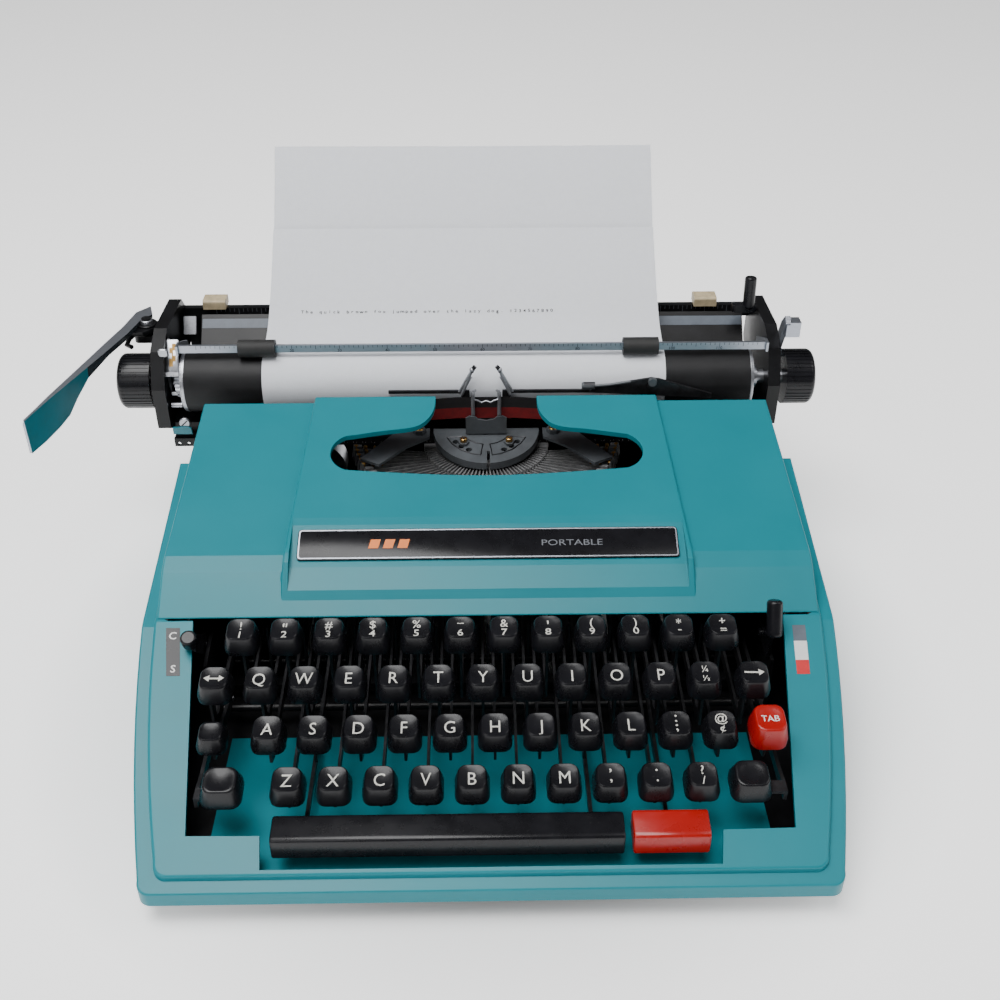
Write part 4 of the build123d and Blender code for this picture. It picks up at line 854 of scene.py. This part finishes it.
def ribbon_fork():
    """Bright hooks on the two prongs of the ribbon fork, with the thin guide loop between them."""
    shape = Shape()
    for sign in (-1, 1):
        shape.tube([(sign * 7.0, 245.3, 92.0), (sign * 7.0, 245.2, 104.6), (sign * 6.8, 246.0, 105.9),
                    (sign * 5.6, 247.4, 105.8)], 0.7)
    shape.tube([(-6.4, 245.0, 101.6), (-4.4, 244.9, 101.0), (-2.4, 244.9, 99.8), (0, 244.9, 100.8),
                (2.4, 244.9, 99.8), (4.4, 244.9, 101.0), (6.4, 245.0, 101.6)], 0.45)
    shape.piece("ribbon_fork_hooks", ["steel"], "vibrator", "steel")


basket()
ribbon_fork()


# ---------------------------------------------------------- card fingers, guide
def card_fingers():
    wire = Shape()
    for sign in (-1, 1):
        wire.tube([(sign * 14.2, 250.2, 103.4), (sign * 13.4, 250.0, 105.2), (sign * 8.9, 250.0, 113.6),
                   (sign * 6.6, 250.2, 117.2)], 0.7)
        wire.tube([(sign * 12.0, 250.0, 104.0), (sign * 7.6, 250.0, 112.6)], 0.55)
    wire.piece("card_finger_wires", ["steel"], "frame", "steel")
    tips = Shape()
    for sign in (-1, 1):
        tips.tube([(sign * 7.5, 250.1, 115.6), (sign * 6.6, 250.2, 117.4), (sign * 5.6, 250.4, 118.6)], 1.15)
    tips.piece("card_finger_tips", ["black_plastic"], "frame")
    clip = Shape()
    clip.lathe([(51.0, 1.6), (51.6, 2.0), (57.6, 2.0), (58.0, 1.6)], "x", (249.6, 106.8))
    clip.tube([(58.0, 249.4, 106.8), (66.0, 249.2, 107.6), (77.0, 249.2, 109.4)], 0.8)
    clip.lathe([(247.0, 2.2), (248.2, 2.4), (249.0, 2.4)], "y", (88.4, 109.6))
    clip.piece("bracket_fittings", ["grey_steel"], "frame", "steel")


card_fingers()


# ------------------------------------------------------------- carriage ends
def return_lever():
    """Steel blade with a bright bent-over edge that widens into an upright teal paddle."""
    sections = [((-186.0, 306.0, 127.0), (-183.4, 297.0, 126.6), (-183.6, 297.0, 124.8)),
                ((-192.4, 298.6, 127.1), (-188.4, 291.0, 126.5), (-189.0, 291.0, 123.6)),
                ((-195.7, 281.4, 127.0), (-191.8, 276.0, 126.4), (-192.2, 276.0, 123.2)),
                ((-200.9, 263.4, 126.7), (-198.0, 257.0, 126.1), (-198.4, 257.0, 122.9)),
                ((-206.5, 243.5, 126.3), (-204.4, 238.8, 125.7), (-205.2, 240.0, 119.2)),
                ((-210.0, 231.0, 126.1), (-208.4, 227.2, 125.5), (-210.0, 231.4, 112.0)),
                ((-213.4, 219.0, 125.9), (-212.4, 215.4, 125.4), (-212.8, 224.0, 106.6)),
                ((-216.2, 209.5, 125.6), (-215.5, 206.8, 125.2), (-215.3, 214.0, 105.5)),
                ((-219.5, 197.5, 125.1), (-219.0, 196.5, 124.8), (-218.8, 200.5, 105.3)),
                ((-222.4, 188.8, 124.5), (-222.0, 188.4, 124.1), (-222.2, 189.4, 105.6))]
    shape = Shape()
    back = Vector((-0.94, 0.34, 0.0)) * 1.5
    rings = []
    for outer, crease, low in sections:
        front = [Vector(outer) + Vector((0, 0, 0.5)), Vector(crease) + Vector((0.1, 0, 0.3)), Vector(low)]
        behind = [Vector(low) + back, Vector(crease) + back * 0.8 - Vector((0, 0, 1.2)),
                  Vector(outer) - Vector((0, 0, 0.7))]
        rings.append([tuple(p) for p in front + behind])
    shape.skin(rings)
    for i in range(len(sections) - 1):
        shape.marks[i * 6 + 1] = 1 if i < 4 else 2
        shape.marks[i * 6 + 3] = 1
        shape.marks[i * 6 + 4] = 1
    shape.piece("lever_blade", ["aluminium", "lever_face", "paddle_teal"], "carriage_return", "aluminium",
                ["return_lever"], sharp=50)
    hub = Shape()
    hub.lathe([(120.0, 4.6), (120.6, 5.6), (124.4, 5.6), (124.8, 5.2)], "z", (-185.6, 291.5))
    hub.plate([(-196.0, 283.0), (-186.0, 281.5), (-180.6, 287.0), (-180.4, 296.0), (-184.0, 297.4), (-192.0, 293.0)],
              "z", 121.0, 123.6, bevel=0.5)
    hub.tube([(-190.5, 288.0, 121.2), (-194.0, 283.0, 119.2), (-194.4, 277.5, 118.4), (-191.0, 274.6, 118.6)], 1.3)
    hub.piece("lever_bracket", ["black_paint"], "carriage_return", "black_paint", ["return_lever"])
    bolt = Shape()
    screw_head(bolt, -185.6, 291.5, 124.8, 3.4, 2.0, 20)
    bolt.piece("lever_screw", ["steel", "dark_ink"], "carriage_return", "steel")


def selector_detail():
    """Bright face of the line-space selector with its stepped slot and lip."""
    on_face = tilted(-168.2, 268.0, 115.6, 52.8)
    plate = Shape()
    rings = [[(u, v, w) for u, v in rounded(6.6 + g, 19.4 + g, 0.9)] for w, g in ((-0.2, 0), (0.35, 0), (0.55, -0.5))]
    plate.skin(rings, place=on_face)
    lip = [(-3.6, -10.4), (3.6, -10.4), (3.6, -8.2), (-3.6, -8.2)]
    plate.add([on_face(u, v, 1.5) for u, v in lip] + [on_face(u, v, 0.2) for u, v in lip],
              [(0, 1, 2, 3), (0, 4, 5, 1), (1, 5, 6, 2), (2, 6, 7, 3), (3, 7, 4, 0)])
    plate.piece("selector_face", ["steel"], "line_space", "steel", ["line_space_selector"])
    slot = Shape()
    outline = [(-1.6, -5.0), (0.4, -5.0), (0.4, -2.2), (1.8, -2.2), (1.8, 1.0), (0.4, 1.0), (0.4, 3.8), (1.8, 3.8),
               (1.8, 7.4), (-0.2, 7.4), (-0.2, 5.2), (-1.6, 5.2), (-1.6, 2.2), (-0.4, 2.2), (-0.4, -0.8), (-1.6, -0.8)]
    slot.add([on_face(u, v, 0.62) for u, v in outline], [tuple(range(len(outline)))])
    slot.piece("selector_slot", ["brass"], "line_space", "steel")
    web = Shape()
    web.plate([(266.0, 95.0), (274.0, 95.0), (279.0, 121.5), (274.6, 123.9), (262.3, 107.7)], "x", -171.2, -169.8)
    web.lathe([(-171.2, 7.4), (-169.8, 7.4)], "x", (270.0, 100.5))
    web.piece("selector_web", ["dark_steel"], "line_space", "steel", ["line_space_selector"])


def left_end_fittings():
    bright, dark = Shape(), Shape()
    bright.plate(rounded(5.2, 4.6, 1.6, -171.2, 121.6), "y", 261.4, 263.0, bevel=0.4)
    bright.plate([(304.0, 111.0), (309.6, 119.4), (311.0, 118.6), (305.4, 110.2)], "x", -169.8, -162.8, bevel=0.3)
    bright.lathe([(-170.8, 1.5), (-165.0, 1.5), (-164.8, 1.1)], "x", (260.4, 90.6), count=16)
    bright.lathe([(-170.0, 1.2), (-167.0, 1.2)], "x", (262.4, 96.6), count=14)
    bright.lathe([(255.2, 2.6), (255.6, 3.0), (256.4, 3.0)], "y", (-164.3, 82.0), count=24)
    dark.add([(-166.3, 255.1, 80.6), (-165.7, 255.1, 80.2), (-162.3, 255.1, 83.4), (-162.9, 255.1, 83.8)],
             [(0, 1, 2, 3)], 0)
    dark.plate([(-171.0, 75.6), (-160.4, 75.6), (-160.8, 79.4), (-164.0, 80.2), (-171.0, 79.8)], "y", 254.2, 255.4,
               1, 0.3)
    bright.piece("left_end_fittings", ["steel"], "carriage", "steel")
    dark.piece("left_end_tab", ["dark_ink", "paddle_teal"], "carriage", "black_paint")


def platen_rings():
    rings = Shape()
    rings.lathe([(-163.4, 16.0), (-163.2, 16.9), (-161.6, 17.15), (-161.2, 17.1)], "x", (PLATEN_Y, PLATEN_Z), count=72)
    rings.lathe([(142.4, 17.1), (142.8, 17.15), (144.0, 16.9), (144.2, 16.0)], "x", (PLATEN_Y, PLATEN_Z), count=72)
    rings.piece("platen_end_rings", ["steel"], "platen_roller", "steel")


return_lever()
selector_detail()
left_end_fittings()
platen_rings()
